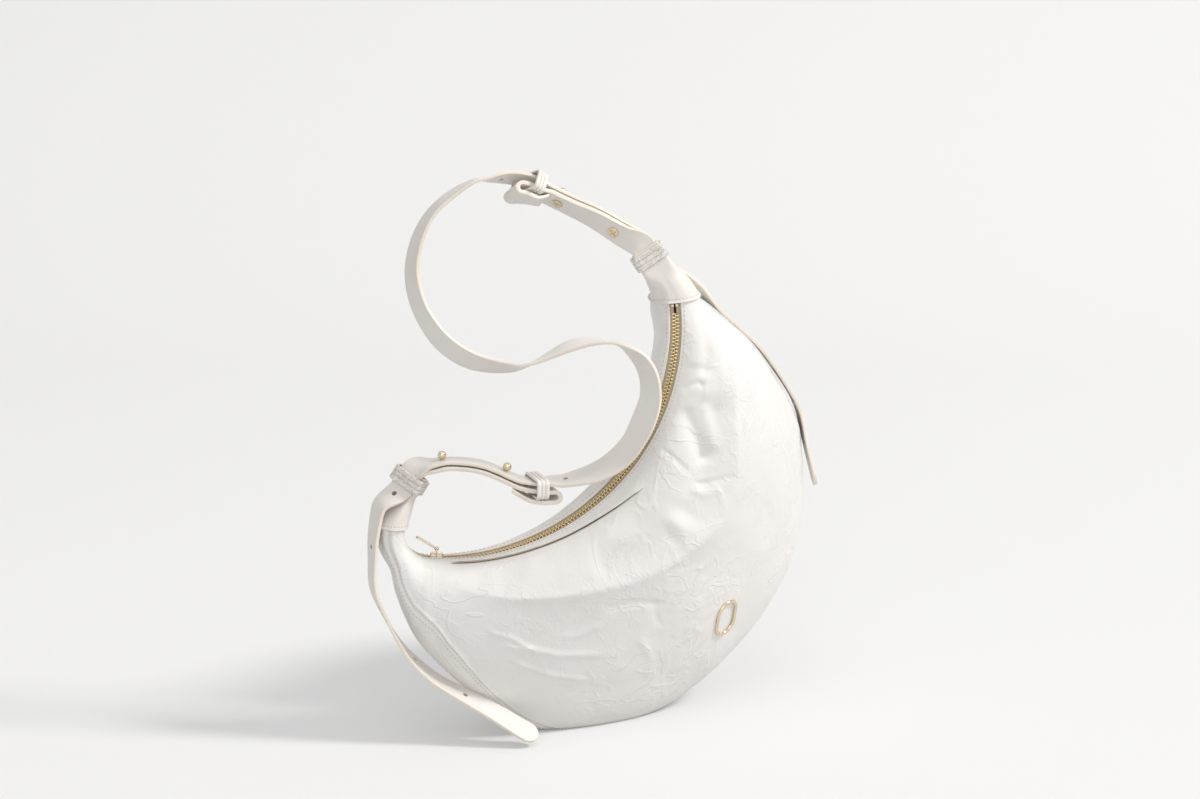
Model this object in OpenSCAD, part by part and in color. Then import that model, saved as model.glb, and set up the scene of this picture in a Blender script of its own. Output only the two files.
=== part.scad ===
// Half moon shoulder bag: a soft crescent of crinkled leather with a metal zip along its mouth,
// a leather cap on each horn and one long strap buttoned on ball studs.
// The bag stands tilted on its lower edge, with its right horn up and turned to face forwards.
// Millimetres. X runs to the right, Y to the back, Z up. The origin is the middle of the resting face.

/* [Bag body] */
// Depth of the bag below its mouth, at the deepest place
bag_depth = 262; // [245:1:280]
// Bulge of the front, from the middle of the mouth
front_bulge = 72; // [60:1:84]
// Bulge of the back, from the middle of the mouth
back_bulge = 54; // [46:1:62]
// Thickness of the leather
leather = 1.6; // [1.2:0.1:2.2]
// Thickness of the lining cloth
lining_cloth = 0.6; // [0.4:0.1:1]
// Width of the strip along the bottom
gusset_width = 52; // [40:1:60]
// How far the soft bottom has settled where it rests
base_press = 7; // [5:0.5:9]
// Space between two layers that lie on each other
layer_gap = 0.15; // [0.1:0.05:0.3]

/* [Zip] */
// Radius of the arc that the slider's bar follows
zip_radius = 185; // [170:1:200]
// Where the zip starts, in degrees from the lowest point of the arc
zip_start = -3; // [-8:1:-2]
// Turn of the zip arc, in degrees
zip_turn = 98; // [90:1:104]
// Place of the closed slider on the arc, in degrees
slider_rest = -1.4; // [-1.6:0.1:-1]
// Twist of the mouth for each degree of the zip arc
twist_rate = 0.98; // [0.9:0.01:1.02]
// Gap between the two leather lips
lip_gap = 10; // [9.5:0.5:12]
// Distance from one tooth to the next on the same side
tooth_pitch = 2.8; // [2.4:0.1:3.4]
// Length of a tooth across the zip
tooth_length = 3.4; // [3:0.1:4]
// Thickness of a tooth through the tape
tooth_height = 2.4; // [2:0.1:3]
// Width of each half of the zip tape
tape_width = 13; // [11:0.5:16]
// Thickness of the zip tape
tape_thickness = 0.6; // [0.4:0.1:0.8]
// Length of the slider
slider_length = 10; // [9:0.5:12]
// Wall of the slider
slider_wall = 1; // [0.8:0.1:1.3]
// Free space around the teeth inside the slider
slider_play = 0.45; // [0.35:0.05:0.6]
// Diameter of the slider's bar
bar_d = 1.6; // [1.4:0.1:1.8]
// Wire of the pull ring
ring_wire = 1.2; // [1:0.1:1.4]
// Free space around the bar and the ring
ring_play = 0.25; // [0.2:0.05:0.4]
// Length of the zip pull
pull_length = 19; // [15:1:24]
// Width of the zip pull
pull_width = 5; // [4:0.5:7]
// Thickness of the zip pull
pull_thickness = 1.2; // [1:0.1:1.6]

/* [Horns] */
// Radius of the bend of the left horn
left_bend = 21; // [18:1:26]
// Length of the straight part of the left horn
left_straight = 21; // [18:1:26]
// Radius of the bend of the right horn
right_bend = 30; // [26:1:36]
// Length of the straight part of the right horn
right_straight = 34; // [30:1:38]
// Width of the keepers on the horns
horn_keeper_width = 12; // [10:1:14]
// Thickness of the keepers' leather
keeper_leather = 2.2; // [1.8:0.1:2.6]

/* [Strap] */
// Width of the strap and its tabs
strap_width = 20; // [18:0.5:22]
// Thickness of the strap
strap_thickness = 2.8; // [2.4:0.1:3.2]
// Thickness of the tabs
tab_thickness = 3.6; // [3.2:0.1:4]
// Width of the ring keepers
ring_keeper_width = 10; // [8:0.5:12]
// Free space beside the strap in its keepers
strap_play = 1.8; // [1.4:0.1:2.2]
// Free space of the ring keeper in the fold of the tab
fold_play = 2.6; // [2.2:0.1:3.2]
// Free space where the strap turns at a horn
turn_play = 4; // [3.5:0.1:4.5]

/* [Studs] */
// Diameter of the ball on a stud
ball_d = 7; // [6:0.5:8]
// Diameter of the neck of a stud
neck_d = 3.6; // [3:0.1:4]
// Diameter of the stud's flange and of its screw's head
flange_d = 8.5; // [8:0.5:10]
// Thickness of the flange and of the screw's head
flange_t = 1; // [0.8:0.1:1.2]
// Radial clearance of the studs in the leather
stud_play = 0.2; // [0.15:0.05:0.3]
// Distance between the two studs of a tab
stud_spacing = 50; // [44:1:56]

/* [Emblem] */
// Height of the plain ring on the front
emblem_height = 34; // [28:1:40]
// Width of the plain ring on the front
emblem_width = 24; // [20:1:30]
// Thickness of the ring's wire
emblem_wire = 3; // [2.4:0.1:3.6]

/* [Hidden] */
$fn = 32;

// Colours of the real materials
leather_white = "#ece8e2";
edge_cream = "#e2d6c6";
cloth_beige = "#cfc6b8";
tape_beige = "#b9ae97";
pale_gold = "#d9b878";

// One overrun for every cut
overrun = 1;
// Rows of the profile tables after the first
profile_rows = 9;

// Heights at the mouth: the slider's bar runs along the path, the leather lies below it
slider_half_height = tooth_height / 2 + slider_play + slider_wall;
chain_depth = leather + layer_gap + tape_thickness / 2;
ring_radius = bar_d / 2 + ring_play + ring_wire / 2;
bar_over_slider = ring_radius + ring_wire / 2 + ring_play;
bar_height = slider_half_height - chain_depth + bar_over_slider;
tooth_mesh = 0.15 * tooth_length;
tooth_share = 0.42;
tooth_reach = tooth_length - tooth_mesh;
tape_inner = tooth_reach + layer_gap;
cap_offset = layer_gap + leather;

// The path of the mouth: an arc for the zip, bends and straights for the horns
keeper_inset = 1;
tip_straight = horn_keeper_width + 2 * keeper_inset;
left_turn = 88;
left_tip_bend = 1.05 * left_bend;
left_tip_turn = 30;
right_turn = 28;
left_tip_twist = -65;
left_twist_power = 1.3;
zip_end = zip_start + zip_turn;
start_twist = twist_rate * (zip_start - slider_rest);
rad = PI / 180;
function on_arc(c, r, a) = [c[0] + r * sin(a), c[1] - r * cos(a)];
function heading(a) = [cos(a), sin(a)];
left_c1 = on_arc([0, 0], zip_radius - left_bend, zip_start);
left_a1 = zip_start - left_turn;
left_a2 = left_a1 - left_tip_turn;
left_p1 = on_arc(left_c1, left_bend, left_a1);
left_p2 = left_p1 - left_straight * heading(left_a1);
left_c2 = on_arc(left_p2, -left_tip_bend, left_a1);
left_p3 = on_arc(left_c2, left_tip_bend, left_a2);
left_l1 = left_bend * left_turn * rad;
left_l2 = left_l1 + left_straight;
left_l3 = left_l2 + left_tip_bend * left_tip_turn * rad;
left_horn = left_l3 + tip_straight;
right_c1 = on_arc([0, 0], zip_radius - right_bend, zip_end);
right_a1 = zip_end + right_turn;
right_p1 = on_arc(right_c1, right_bend, right_a1);
right_l1 = right_bend * right_turn * rad;
right_horn = right_l1 + right_straight;
function left_path(l) =
    l < left_l1 ? let (a = zip_start - l / left_bend / rad) [on_arc(left_c1, left_bend, a), a]
    : l < left_l2 ? [left_p1 - (l - left_l1) * heading(left_a1), left_a1]
    : l < left_l3 ? let (a = left_a1 - (l - left_l2) / left_tip_bend / rad)
        [on_arc(left_c2, left_tip_bend, a), a]
    : [left_p3 - (l - left_l3) * heading(left_a2), left_a2];
function right_path(l) =
    l < right_l1 ? let (a = zip_end + l / right_bend / rad) [on_arc(right_c1, right_bend, a), a]
    : [right_p1 + (l - right_l1) * heading(right_a1), right_a1];
// Place and direction at w: -1 is the left tip, 0 to 1 the zip, 2 the right tip
function path(w) =
    w < 0 ? left_path(-w * left_horn)
    : w > 1 ? right_path((w - 1) * right_horn)
    : let (a = zip_start + w * zip_turn) [on_arc([0, 0], zip_radius, a), a];
function twist(w) =
    w < 0 ? start_twist + (left_tip_twist - start_twist)
        * pow(min(-w * left_horn / left_l3, 1), left_twist_power)
    : start_twist + twist_rate * zip_turn * min(w, 1);
// Frame on the path: place, forward, into the bag, towards the back
function frame(w) =
    let (p = path(w), a = p[1], s = twist(w), e = [sin(a), 0, -cos(a)], y = [0, 1, 0])
    [[p[0][0], 0, p[0][1]], [cos(a), 0, sin(a)], cos(s) * e + sin(s) * y, cos(s) * y - sin(s) * e];

// Smooth value from a table of rows [place, value, ...], with no overshoot between rows
function row_at(t, x) = max([for (i = [0 : len(t) - 2]) if (t[i][0] <= x || i == 0) i]);
function rise(t, i, c) = (t[i + 1][c] - t[i][c]) / (t[i + 1][0] - t[i][0]);
function slope(t, i, c) =
    i == 0 ? rise(t, 0, c)
    : i == len(t) - 1 ? rise(t, i - 1, c)
    : let (a = rise(t, i - 1, c), b = rise(t, i, c)) a * b <= 0 ? 0 : 2 * a * b / (a + b);
function smooth(t, x, c) =
    let (i = row_at(t, x), h = t[i + 1][0] - t[i][0], u = min(max((x - t[i][0]) / h, 0), 1))
    (2 * u * u * u - 3 * u * u + 1) * t[i][c] + (3 * u * u - 2 * u * u * u) * t[i + 1][c]
    + h * (u * u * u - 2 * u * u + u) * slope(t, i, c) + h * (u * u * u - u * u) * slope(t, i + 1, c);

// Depth, front bulge and back bulge along the path, as shares of the body's sizes
body_shares = [
    [-0.43, 0.073, 0.22, 0.28], [-0.31, 0.077, 0.26, 0.34], [-0.205, 0.087, 0.31, 0.39],
    [-0.11, 0.145, 0.36, 0.45], [0.00, 0.29, 0.43, 0.52], [0.07, 0.425, 0.53, 0.62],
    [0.145, 0.565, 0.63, 0.74], [0.25, 0.70, 0.75, 0.87], [0.35, 0.805, 0.85, 0.95],
    [0.48, 0.93, 0.945, 1.00], [0.61, 1.00, 1.00, 0.98], [0.72, 0.975, 0.985, 0.84],
    [0.82, 0.77, 0.86, 0.58], [0.90, 0.525, 0.64, 0.39], [0.955, 0.35, 0.44, 0.35],
    [1.00, 0.223, 0.30, 0.31], [1.34, 0.118, 0.19, 0.24]];
// At the tips the cap closes on the tab, with a flat section
tab_fit = 3 * layer_gap;
tip_depth = tab_thickness + 2 * tab_fit;
tip_half = strap_width / 2 + tab_fit;
left_flat = -0.77;
right_flat = 1.68;
tip_over = 0.1;
body_table = concat(
    [for (w = [-1 - tip_over, left_flat]) [w, tip_depth, tip_half, tip_half, 1]],
    [for (r = body_shares) [r[0], r[1] * bag_depth, r[2] * front_bulge, r[3] * back_bulge, 0]],
    [for (w = [right_flat, 2 + tip_over]) [w, tip_depth, tip_half, tip_half, 1]]);

// Profiles from the mouth to the lowest line, as shares of the bulge and of the depth
front_profile_shares = [[0, 0], [0.28, 0], [0.55, 0.035], [0.80, 0.12], [0.95, 0.27],
    [1, 0.46], [0.95, 0.66], [0.80, 0.83], [0.50, 0.955], [0, 1]];
back_profile_shares = [[0, 0], [0.29, 0.005], [0.45, 0.055], [0.71, 0.15], [0.92, 0.30],
    [1, 0.47], [0.95, 0.66], [0.80, 0.83], [0.50, 0.955], [0, 1]];
tip_profile_shares = [[0, 0], [0.45, 0], [0.86, 0.005], [0.975, 0.06], [1, 0.28],
    [1, 0.72], [0.975, 0.94], [0.86, 0.995], [0.45, 1], [0, 1]];
function bend(t, i) =
    (t[min(i + 1, len(t) - 1)] - t[max(i - 1, 0)]) / (i == 0 || i == len(t) - 1 ? 1 : 2);
function curve(t, v) =
    let (i = min(floor(v), len(t) - 2), u = v - i)
    (2 * u * u * u - 3 * u * u + 1) * t[i] + (3 * u * u - 2 * u * u * u) * t[i + 1]
    + (u * u * u - 2 * u * u + u) * bend(t, i) + (u * u * u - u * u) * bend(t, i + 1);

// Columns of the surface: tape's inner edge, lip, tape's outer edge, slit, face, seam, gusset,
// lowest line
face_columns = 8;
gusset_columns = 3;
front_seam_shares = [[-0.6, 0.35], [-0.43, 0.45], [-0.31, 0.58], [-0.11, 0.9], [0, 1.15],
    [0.07, 1.33], [0.13, 1.27], [0.165, 1.2], [0.25, 1.04], [0.4, 1], [0.8, 1], [0.9, 0.9],
    [1, 0.6], [1.4, 0.35]];
back_seam_shares = [[-0.6, 0.35], [-0.43, 0.45], [-0.11, 0.6], [0.12, 1], [0.8, 1], [1, 0.5],
    [1.4, 0.3]];
slit_from = 0.05;
slit_to = 0.55;
slit_back = 0.9;
slit_gap = leather / 2;
slit_near = tape_width + slit_gap;
slit_far = 1.65 * slit_near;
tape_limit_share = 0.55;
slit_limit_share = 0.62;
function slit_place(w, side) =
    let (u = min(max(w < slit_to ? (w - slit_from) / (slit_to - slit_from)
        : (slit_back - w) / (slit_back - slit_to), 0), 1))
    side > 0 ? slit_near : slit_near + (slit_far - slit_near) * u * u * u;
function upper_v(t, q) = lookup(q, [for (i = [0 : 5]) [t[i][0], i]]);
function lower_v(t, q) = lookup(q, [for (i = [0 : 4]) [t[profile_rows - i][0], profile_rows - i]]);
function slit_share(w, side, half) = min(slit_place(w, side) / half, slit_limit_share);
function columns(t, w, side, shares) =
    let (half = smooth(body_table, w, side < 0 ? 2 : 3), share = slit_share(w, side, half),
        slit2 = upper_v(t, share + slit_gap / half),
        seam = lower_v(t, gusset_width / 2 * smooth(shares, w, 1) / half))
    concat([for (q = [tape_inner / half, lip_gap / 2 / half,
            min(tape_width / half, tape_limit_share), share]) upper_v(t, q)],
        [for (i = [0 : face_columns - 2]) slit2 + (seam - slit2) * i / (face_columns - 2)],
        [for (i = [1 : gusset_columns]) seam + (profile_rows - seam) * i / gusset_columns]);
function side_point(w, side, v) =
    let (f = frame(w), t = side < 0 ? front_profile_shares : back_profile_shares,
        half = smooth(body_table, w, side < 0 ? 2 : 3), depth = smooth(body_table, w, 1),
        m = min(max(smooth(body_table, w, 4), 0), 1),
        s = curve(t, v) * (1 - m) + curve(tip_profile_shares, v) * m)
    f[0] + f[2] * (bar_height + s[1] * depth) + f[3] * s[0] * half * side;
// One ring of the surface, from the front edge of the mouth round the bottom to the back edge
function ring(w) =
    let (f = frame(w), cf = columns(front_profile_shares, w, -1, front_seam_shares),
        cb = columns(back_profile_shares, w, 1, back_seam_shares),
        n = len(cf))
    concat([for (v = cf) side_point(w, -1, v)],
        [for (i = [n - 2 : -1 : 0]) side_point(w, 1, cb[i])],
        [f[0] + f[2] * bar_height]);
front_lip = 1;
front_slit = 3;
front_seam = front_slit + face_columns - 1;
back_seam = front_seam + 2 * gusset_columns;
back_lip = back_seam + front_seam - front_lip;
mouth_middle = back_lip + 2;

// The lowest point of the bag sets the place of everything
low_steps = 60;
low_points = [for (i = [0 : low_steps]) each ring(i / low_steps)];
low = min([for (p = low_points) p[2]]);
rest_point = [for (p = low_points) if (p[2] == low) p][0];
mouth_centre = [-rest_point[0], -rest_point[1], -low];
// The bottom settles onto the floor, less and less up to this height
settle_height = 6 * base_press;
function settle(p) =
    let (u = min(max((settle_height - p[2]) / (settle_height - base_press), 0), 1))
    [p[0], p[1], max(p[2] - base_press * u * u * (3 - 2 * u), 0)];

// Grids of the surface, with their outward directions
function unit(v) = v / norm(v);
function body_grid(ws) = [for (w = ws) [for (p = ring(w)) settle(p + mouth_centre)]];
function outward(g) =
    let (ni = len(g), nk = len(g[0]))
    [for (i = [0 : ni - 1]) [for (k = [0 : nk - 1])
        let (a = g[max(i - 1, 0)][k], b = g[min(i + 1, ni - 1)][k],
            c = g[i][(k + nk - 1) % nk], d = g[i][(k + 1) % nk])
        unit(cross(d - c, b - a))]];

// Closed shell over the columns k0 to k1, between two distances from the surface
function is_kept(i, k, ni, k0, k1, closed, skip) =
    i >= 0 && i < ni - 1 && (closed || (k >= k0 && k < k1))
    && !(k == skip[2] && i >= skip[0] && i < skip[1]);
no_skip = [0, 0, -1];
deep = -2 * bag_depth;
module shell(g, n, k0, k1, outer, inner, closed = false, skip = no_skip,
        floors = [deep, deep]) {
    ni = len(g);
    nk = k1 - k0 + 1;
    m = ni * nk;
    points = [for (h = [[outer, floors[0]], [inner, floors[1]]]) for (i = [0 : ni - 1])
        for (k = [k0 : k1]) let (p = g[i][k] + n[i][k] * h[0]) [p[0], p[1], max(p[2], h[1])]];
    cells = [for (i = [0 : ni - 2]) for (k = [k0 : closed ? k1 : k1 - 1])
        if (is_kept(i, k, ni, k0, k1, closed, skip)) [i, k]];
    faces = [for (c = cells)
        let (i = c[0], k = c[1], l = k == k1 ? k0 : k + 1, j = k == k0 ? (closed ? k1 : k0 - 1) : k - 1,
            a = i * nk + k - k0, b = i * nk + l - k0, d = a + nk, e = b + nk,
            walls = [if (!is_kept(i - 1, k, ni, k0, k1, closed, skip)) [a, b],
                if (!is_kept(i, closed ? l : k + 1, ni, k0, k1, closed, skip)) [b, e],
                if (!is_kept(i + 1, k, ni, k0, k1, closed, skip)) [e, d]])
        each concat([[a, d, e], [a, e, b], [a + m, e + m, d + m], [a + m, b + m, e + m]],
            [for (s = walls) each [[s[0], s[1], s[1] + m], [s[0], s[1] + m, s[0] + m]]],
            is_kept(i, j, ni, k0, k1, closed, skip) ? [] : [[d, a, d + m], [a, a + m, d + m]])];
    polyhedron(points, faces, convexity = 10);
}
zip_steps = 20;
horn_places = [-0.56, -0.50, -0.43, -0.31, -0.205, -0.11];
body_places = concat(horn_places, [for (i = [0 : zip_steps]) i / zip_steps], [1.12, 1.23, 1.34]);
slit_cells = [for (w = [slit_from, slit_to]) len(horn_places) + w * zip_steps];
left_cap_places = concat([-1, -0.93, -0.86, left_flat, -0.7, -0.63], [for (i = [0 : 2]) horn_places[i]]);
right_cap_places = [1, 1.12, 1.23, 1.34, 1.42, 1.5, 1.58, right_flat, 1.79, 1.9, 2];
body = body_grid(body_places);
body_out = outward(body);

// Places anything in the frame of the path: x into the bag, y towards the back, z forward
module on_path(w) {
    f = frame(w);
    p = f[0] + mouth_centre;
    multmatrix([[f[2][0], f[3][0], f[1][0], p[0]], [f[2][1], f[3][1], f[1][1], p[1]],
        [f[2][2], f[3][2], f[1][2], p[2]], [0, 0, 0, 1]]) children();
}

// Leather of the front, the back and the bottom
module front_panel() color(leather_white) difference() {
    shell(body, body_out, front_lip, front_seam, 0, -leather,
        skip = concat(slit_cells, [front_slit]), floors = [deep, leather]);
    for (s = [-1, 1]) on_emblem() translate([0, s * prong_reach, 0])
        cylinder(d = prong_d + 2 * layer_gap, h = 2 * emblem_depth, center = true);
}
module back_panel() color(leather_white)
    shell(body, body_out, back_seam, back_lip, 0, -leather);
module bottom_gusset() color(leather_white)
    shell(body, body_out, front_seam, back_seam, 0, -leather, floors = [deep, leather]);

// Cloth lining, and the flat bag of the front pocket between it and the leather
pocket_thickness = 2 * lining_cloth;
lining_depth = leather + 4 * layer_gap + pocket_thickness;
lining_floor = leather + layer_gap;
function rows(g, from, to) = [for (i = [from : to]) g[i]];
function mix(a, b, u) = a * (1 - u) + b * u;
// The lining starts beside the chain, part of the way from the lip to the next column
lining_share = 0.5;
function lining_row(q) = [for (k = [0 : mouth_middle])
    k == front_lip ? mix(q[k], q[k + 1], lining_share)
    : k == back_lip ? mix(q[k], q[k - 1], lining_share) : q[k]];
function lining_rows(g) = [for (i = [3 : len(g) - 3]) lining_row(g[i])];
module lining() color(cloth_beige)
    shell(lining_rows(body), lining_rows(body_out), front_lip, back_lip,
        -lining_depth, -lining_depth - lining_cloth,
        floors = [lining_floor, lining_floor + lining_cloth]);
pocket_columns = [front_slit + 1, front_slit + 4];
module front_pocket_bag() color(cloth_beige)
    shell(rows(body, slit_cells[0], slit_cells[1]), rows(body_out, slit_cells[0], slit_cells[1]),
        pocket_columns[0], pocket_columns[1],
        -leather - layer_gap, -leather - layer_gap - pocket_thickness);

// Zip: two tapes, teeth clamped beyond their edges, stops at both ends
tape_rows = [len(horn_places) - 1, len(horn_places) + zip_steps + 1];
module zip_tape(k0, k1) color(tape_beige)
    shell(rows(body, tape_rows[0], tape_rows[1]), rows(body_out, tape_rows[0], tape_rows[1]), k0, k1,
        -leather - layer_gap, -leather - layer_gap - tape_thickness);
module zip_tape_front() zip_tape(0, front_lip + 1);
module zip_tape_back() zip_tape(back_lip - 1, back_lip + 1);
tooth_width = tooth_share * tooth_pitch;
chain_level = bar_height + chain_depth;
slider_w = (slider_rest - zip_start) / zip_turn;
zip_length = zip_radius * zip_turn * rad;
stop_length = 2 * tooth_width;
chain_start = slider_w * zip_length + tooth_width;
chain_end = zip_length - 2 * stop_length - tooth_pitch;
teeth = floor((chain_end - chain_start) / tooth_pitch);
module clamp(side, w, width, reach) on_path(w)
    translate([chain_level - tooth_height / 2, side < 0 ? -tooth_reach : tooth_reach - reach,
        -width / 2]) cube([tooth_height, reach, width]);
module zip_teeth(side) color(pale_gold) for (i = [0 : teeth - 1])
    clamp(side, (chain_start + (i + (side < 0 ? 0 : 0.5)) * tooth_pitch) / zip_length,
        tooth_width, tooth_length);
module zip_teeth_front() zip_teeth(-1);
module zip_teeth_back() zip_teeth(1);
module zip_stops() color(pale_gold) for (side = [-1, 1])
    for (w = [-stop_length / left_horn, 1 - stop_length / zip_length])
        clamp(side, w, stop_length, tooth_reach - tooth_mesh);

// Slider: two plates round the chain, a wedge between them, a bar on two posts
slider_half_width = tooth_reach + slider_play + slider_wall;
slit_for_tape = tape_thickness + 2 * slider_play;
post = slider_wall;
wedge = slider_length / 4;
module zip_slider() color(pale_gold) on_path(slider_w) {
    translate([chain_level, 0, 0]) difference() {
        cube([2 * slider_half_height, 2 * slider_half_width, slider_length], center = true);
        cube([2 * (slider_half_height - slider_wall), 2 * (slider_half_width - slider_wall),
            slider_length + overrun], center = true);
        cube([slit_for_tape, 2 * slider_half_width + overrun, slider_length + overrun],
            center = true);
    }
    translate([chain_level - slider_half_height + slider_wall / 2, -wedge / 2, -slider_length / 2])
        cube([2 * slider_half_height - slider_wall, wedge, wedge]);
    for (z = [-slider_length / 2, slider_length / 2 - post])
        translate([0, -bar_d / 2, z])
            cube([chain_level - slider_half_height + slider_wall / 2, bar_d, post]);
    cylinder(d = bar_d, h = slider_length, center = true);
}
link_length = ring_radius + ring_play;
module zip_pull_ring() color(pale_gold) on_path(slider_w) {
    rotate([0, 0, -90]) rotate_extrude(angle = 180) translate([ring_radius, 0]) circle(d = ring_wire);
    translate([-link_length, 0, 0]) rotate([0, 0, 90])
        rotate_extrude(angle = 180) translate([ring_radius, 0]) circle(d = ring_wire);
    for (s = [-1, 1]) translate([0, s * ring_radius, 0]) rotate([0, -90, 0])
        cylinder(d = ring_wire, h = link_length);
}
pull_rest = 30;
eye_play = 1.8 * ring_play;
eye_radius = ring_wire / 2 + eye_play;
eye_wall = pull_thickness / 1.5;
eye_width = 2 * (ring_radius - ring_wire / 2 - ring_play);
pull_start = eye_radius + eye_wall + pull_thickness / 2;
module zip_pull() color(pale_gold) on_path(slider_w)
    translate([-link_length - ring_radius, 0, 0]) rotate([0, pull_rest, 0]) {
        difference() {
            union() {
                rotate([90, 0, 0]) cylinder(r = eye_radius + eye_wall, h = eye_width, center = true);
                translate([-pull_thickness / 2, -eye_width / 2, -pull_start - overrun])
                    cube([pull_thickness, eye_width, pull_start + overrun]);
            }
            rotate([90, 0, 0]) cylinder(r = eye_radius, h = eye_width + overrun, center = true);
        }
        translate([-pull_thickness / 2, -pull_width / 2, -pull_length + pull_width / 2])
            cube([pull_thickness, pull_width, pull_length - pull_width / 2 - pull_start]);
        translate([0, 0, -pull_length + pull_width / 2]) rotate([0, 90, 0])
            cylinder(d = pull_width, h = pull_thickness, center = true);
    }

// Caps on the horns
module cap(places) {
    g = body_grid(places);
    shell(g, outward(g), 0, mouth_middle, cap_offset, layer_gap, closed = true);
}
module cap_left() color(leather_white) cap(left_cap_places);
module cap_right() color(leather_white) cap(right_cap_places);

// Keepers: square bands of leather round the cap's tip and the strap
keeper_play = 2 * layer_gap;
strap_level = bar_height + tip_depth + cap_offset + keeper_play + strap_thickness / 2;
keeper_low = bar_height - cap_offset - keeper_play;
keeper_high = strap_level + strap_thickness / 2 + keeper_play;
keeper_half = tip_half + cap_offset + keeper_play;
module rounded(x0, x1, half, r) {
    translate([x0 + r, -half]) square([x1 - x0 - 2 * r, 2 * half]);
    translate([x0, -half + r]) square([x1 - x0, 2 * (half - r)]);
    for (x = [x0 + r, x1 - r]) for (y = [-half + r, half - r]) translate([x, y]) circle(r);
}
module band(x0, x1, half, width) linear_extrude(width, center = true) difference() {
    rounded(x0 - keeper_leather, x1 + keeper_leather, half + keeper_leather,
        keeper_leather + layer_gap);
    rounded(x0, x1, half, layer_gap);
}
module horn_keeper(w, out) color(leather_white) on_path(w)
    translate([0, 0, -out * (keeper_inset + horn_keeper_width / 2)])
        band(keeper_low, keeper_high, keeper_half, horn_keeper_width);
module horn_keeper_left() horn_keeper(-1, -1);
module horn_keeper_right() horn_keeper(2, 1);

// Routes of the strap: places from the mouth's centre as shares of the zip's radius, and
// directions across the strap from its near to its far edge
function tip_line(w, x, level) =
    let (f = frame(w)) [mouth_centre + f[0] + f[1] * x + f[2] * level, f[3]];
function spline(p, u) =
    let (n = len(p) - 1, i = min(max(floor(u), 0), n - 1), v = u - i,
        a = p[max(i - 1, 0)], b = p[i], c = p[i + 1], d = p[min(i + 2, n)])
    0.5 * (2 * b + (c - a) * v + (2 * a - 5 * b + 4 * c - d) * v * v
        + (3 * b - a - 3 * c + d) * v * v * v);
samples = 6;
// A route holds its places, its directions and a table of lengths; its first and last
// points only steer the ends
function route(points) =
    let (p = [for (q = points) q[0]], w = [for (q = points) q[1]], n = (len(p) - 3) * samples)
    [p, w, [for (i = 0, s = 0; i <= n;
        s = s + norm(spline(p, 1 + (i + 1) / samples) - spline(p, 1 + i / samples)), i = i + 1)
        [s, 1 + i / samples]]];
function total(r) = r[2][len(r[2]) - 1][0];
function place(r, a) = spline(r[0], lookup(a, r[2]));
step = leather / 4;
function forward(r, a) = unit(place(r, a + step) - place(r, a - step));
function across(r, a) =
    let (t = forward(r, a), w = spline(r[1], lookup(a, r[2]))) unit(w - t * (w * t));
function outer(r, a) = cross(across(r, a), forward(r, a));
function from_shares(t) = [for (q = t) [mouth_centre + zip_radius * q[0], q[1]]];

strap_shares = [
    [[0.79, 0.057, 0.374], [-0.60, 0.45, -0.65]], [[0.67, 0.065, 0.451], [-0.30, 0.66, -0.68]],
    [[0.571, 0.075, 0.50], [0, 0.72, -0.69]], [[0.465, 0.078, 0.552], [0, 0.75, -0.66]],
    [[0.378, 0.06, 0.602], [-0.05, 0.80, -0.60]], [[0.293, 0.054, 0.615], [0.05, 0.85, -0.53]],
    [[0.22, 0.049, 0.61], [0.02, 0.96, -0.28]], [[0.15, 0.043, 0.602], [-0.06, 1, -0.04]],
    [[0.055, 0.037, 0.547], [-0.20, 0.97, 0.08]], [[-0.032, 0.027, 0.469], [-0.32, 0.95, 0.03]],
    [[-0.089, 0.016, 0.364], [-0.44, 0.90, 0]], [[-0.115, 0.005, 0.244], [-0.52, 0.85, -0.09]],
    [[-0.105, -0.005, 0.137], [-0.56, 0.78, -0.28]], [[-0.064, -0.016, 0.031], [-0.55, 0.71, -0.44]],
    [[0.014, -0.032, -0.073], [-0.54, 0.60, -0.58]], [[0.127, -0.048, -0.146], [-0.50, 0.62, -0.60]],
    [[0.271, -0.065, -0.173], [-0.30, 0.81, -0.51]], [[0.384, -0.08, -0.159], [-0.10, 0.97, -0.20]],
    [[0.542, -0.102, -0.082], [-0.10, 0.98, 0.18]], [[0.642, -0.113, -0.057], [-0.08, 0.99, 0.10]],
    [[0.719, -0.124, -0.058], [-0.05, 0.99, -0.09]], [[0.78, -0.136, -0.076], [-0.15, 0.96, -0.23]],
    [[0.84, -0.141, -0.121], [-0.40, 0.82, -0.41]], [[0.874, -0.146, -0.171], [-0.62, 0.72, -0.30]],
    [[0.891, -0.152, -0.232], [-0.74, 0.66, -0.12]], [[0.891, -0.152, -0.304], [-0.80, 0.60, -0.05]],
    [[0.876, -0.152, -0.368], [-0.79, 0.60, 0.10]], [[0.839, -0.144, -0.45], [-0.75, 0.60, 0.28]],
    [[0.77, -0.136, -0.545], [-0.60, 0.55, 0.55]], [[0.673, -0.119, -0.613], [-0.30, 0.78, 0.52]],
    [[0.547, -0.092, -0.656], [-0.08, 0.95, 0.28]], [[0.481, -0.08, -0.664], [-0.08, 0.98, 0.16]],
    [[0.424, -0.08, -0.667], [-0.03, 1, 0.05]], [[0.338, -0.076, -0.658], [0, 1, 0]],
    [[0.253, -0.07, -0.622], [0, 1, 0]], [[0.198, -0.065, -0.601], [0, 1, 0]],
    [[0.143, -0.06, -0.589], [0, 1, 0]], [[0.083, -0.054, -0.584], [0, 1, 0]],
    [[0.027, -0.054, -0.584], [0, 1, 0]], [[-0.034, -0.053, -0.595], [-0.15, 0.97, 0.10]],
    [[-0.09, -0.055, -0.617], [-0.45, 0.80, 0.35]]];
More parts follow.
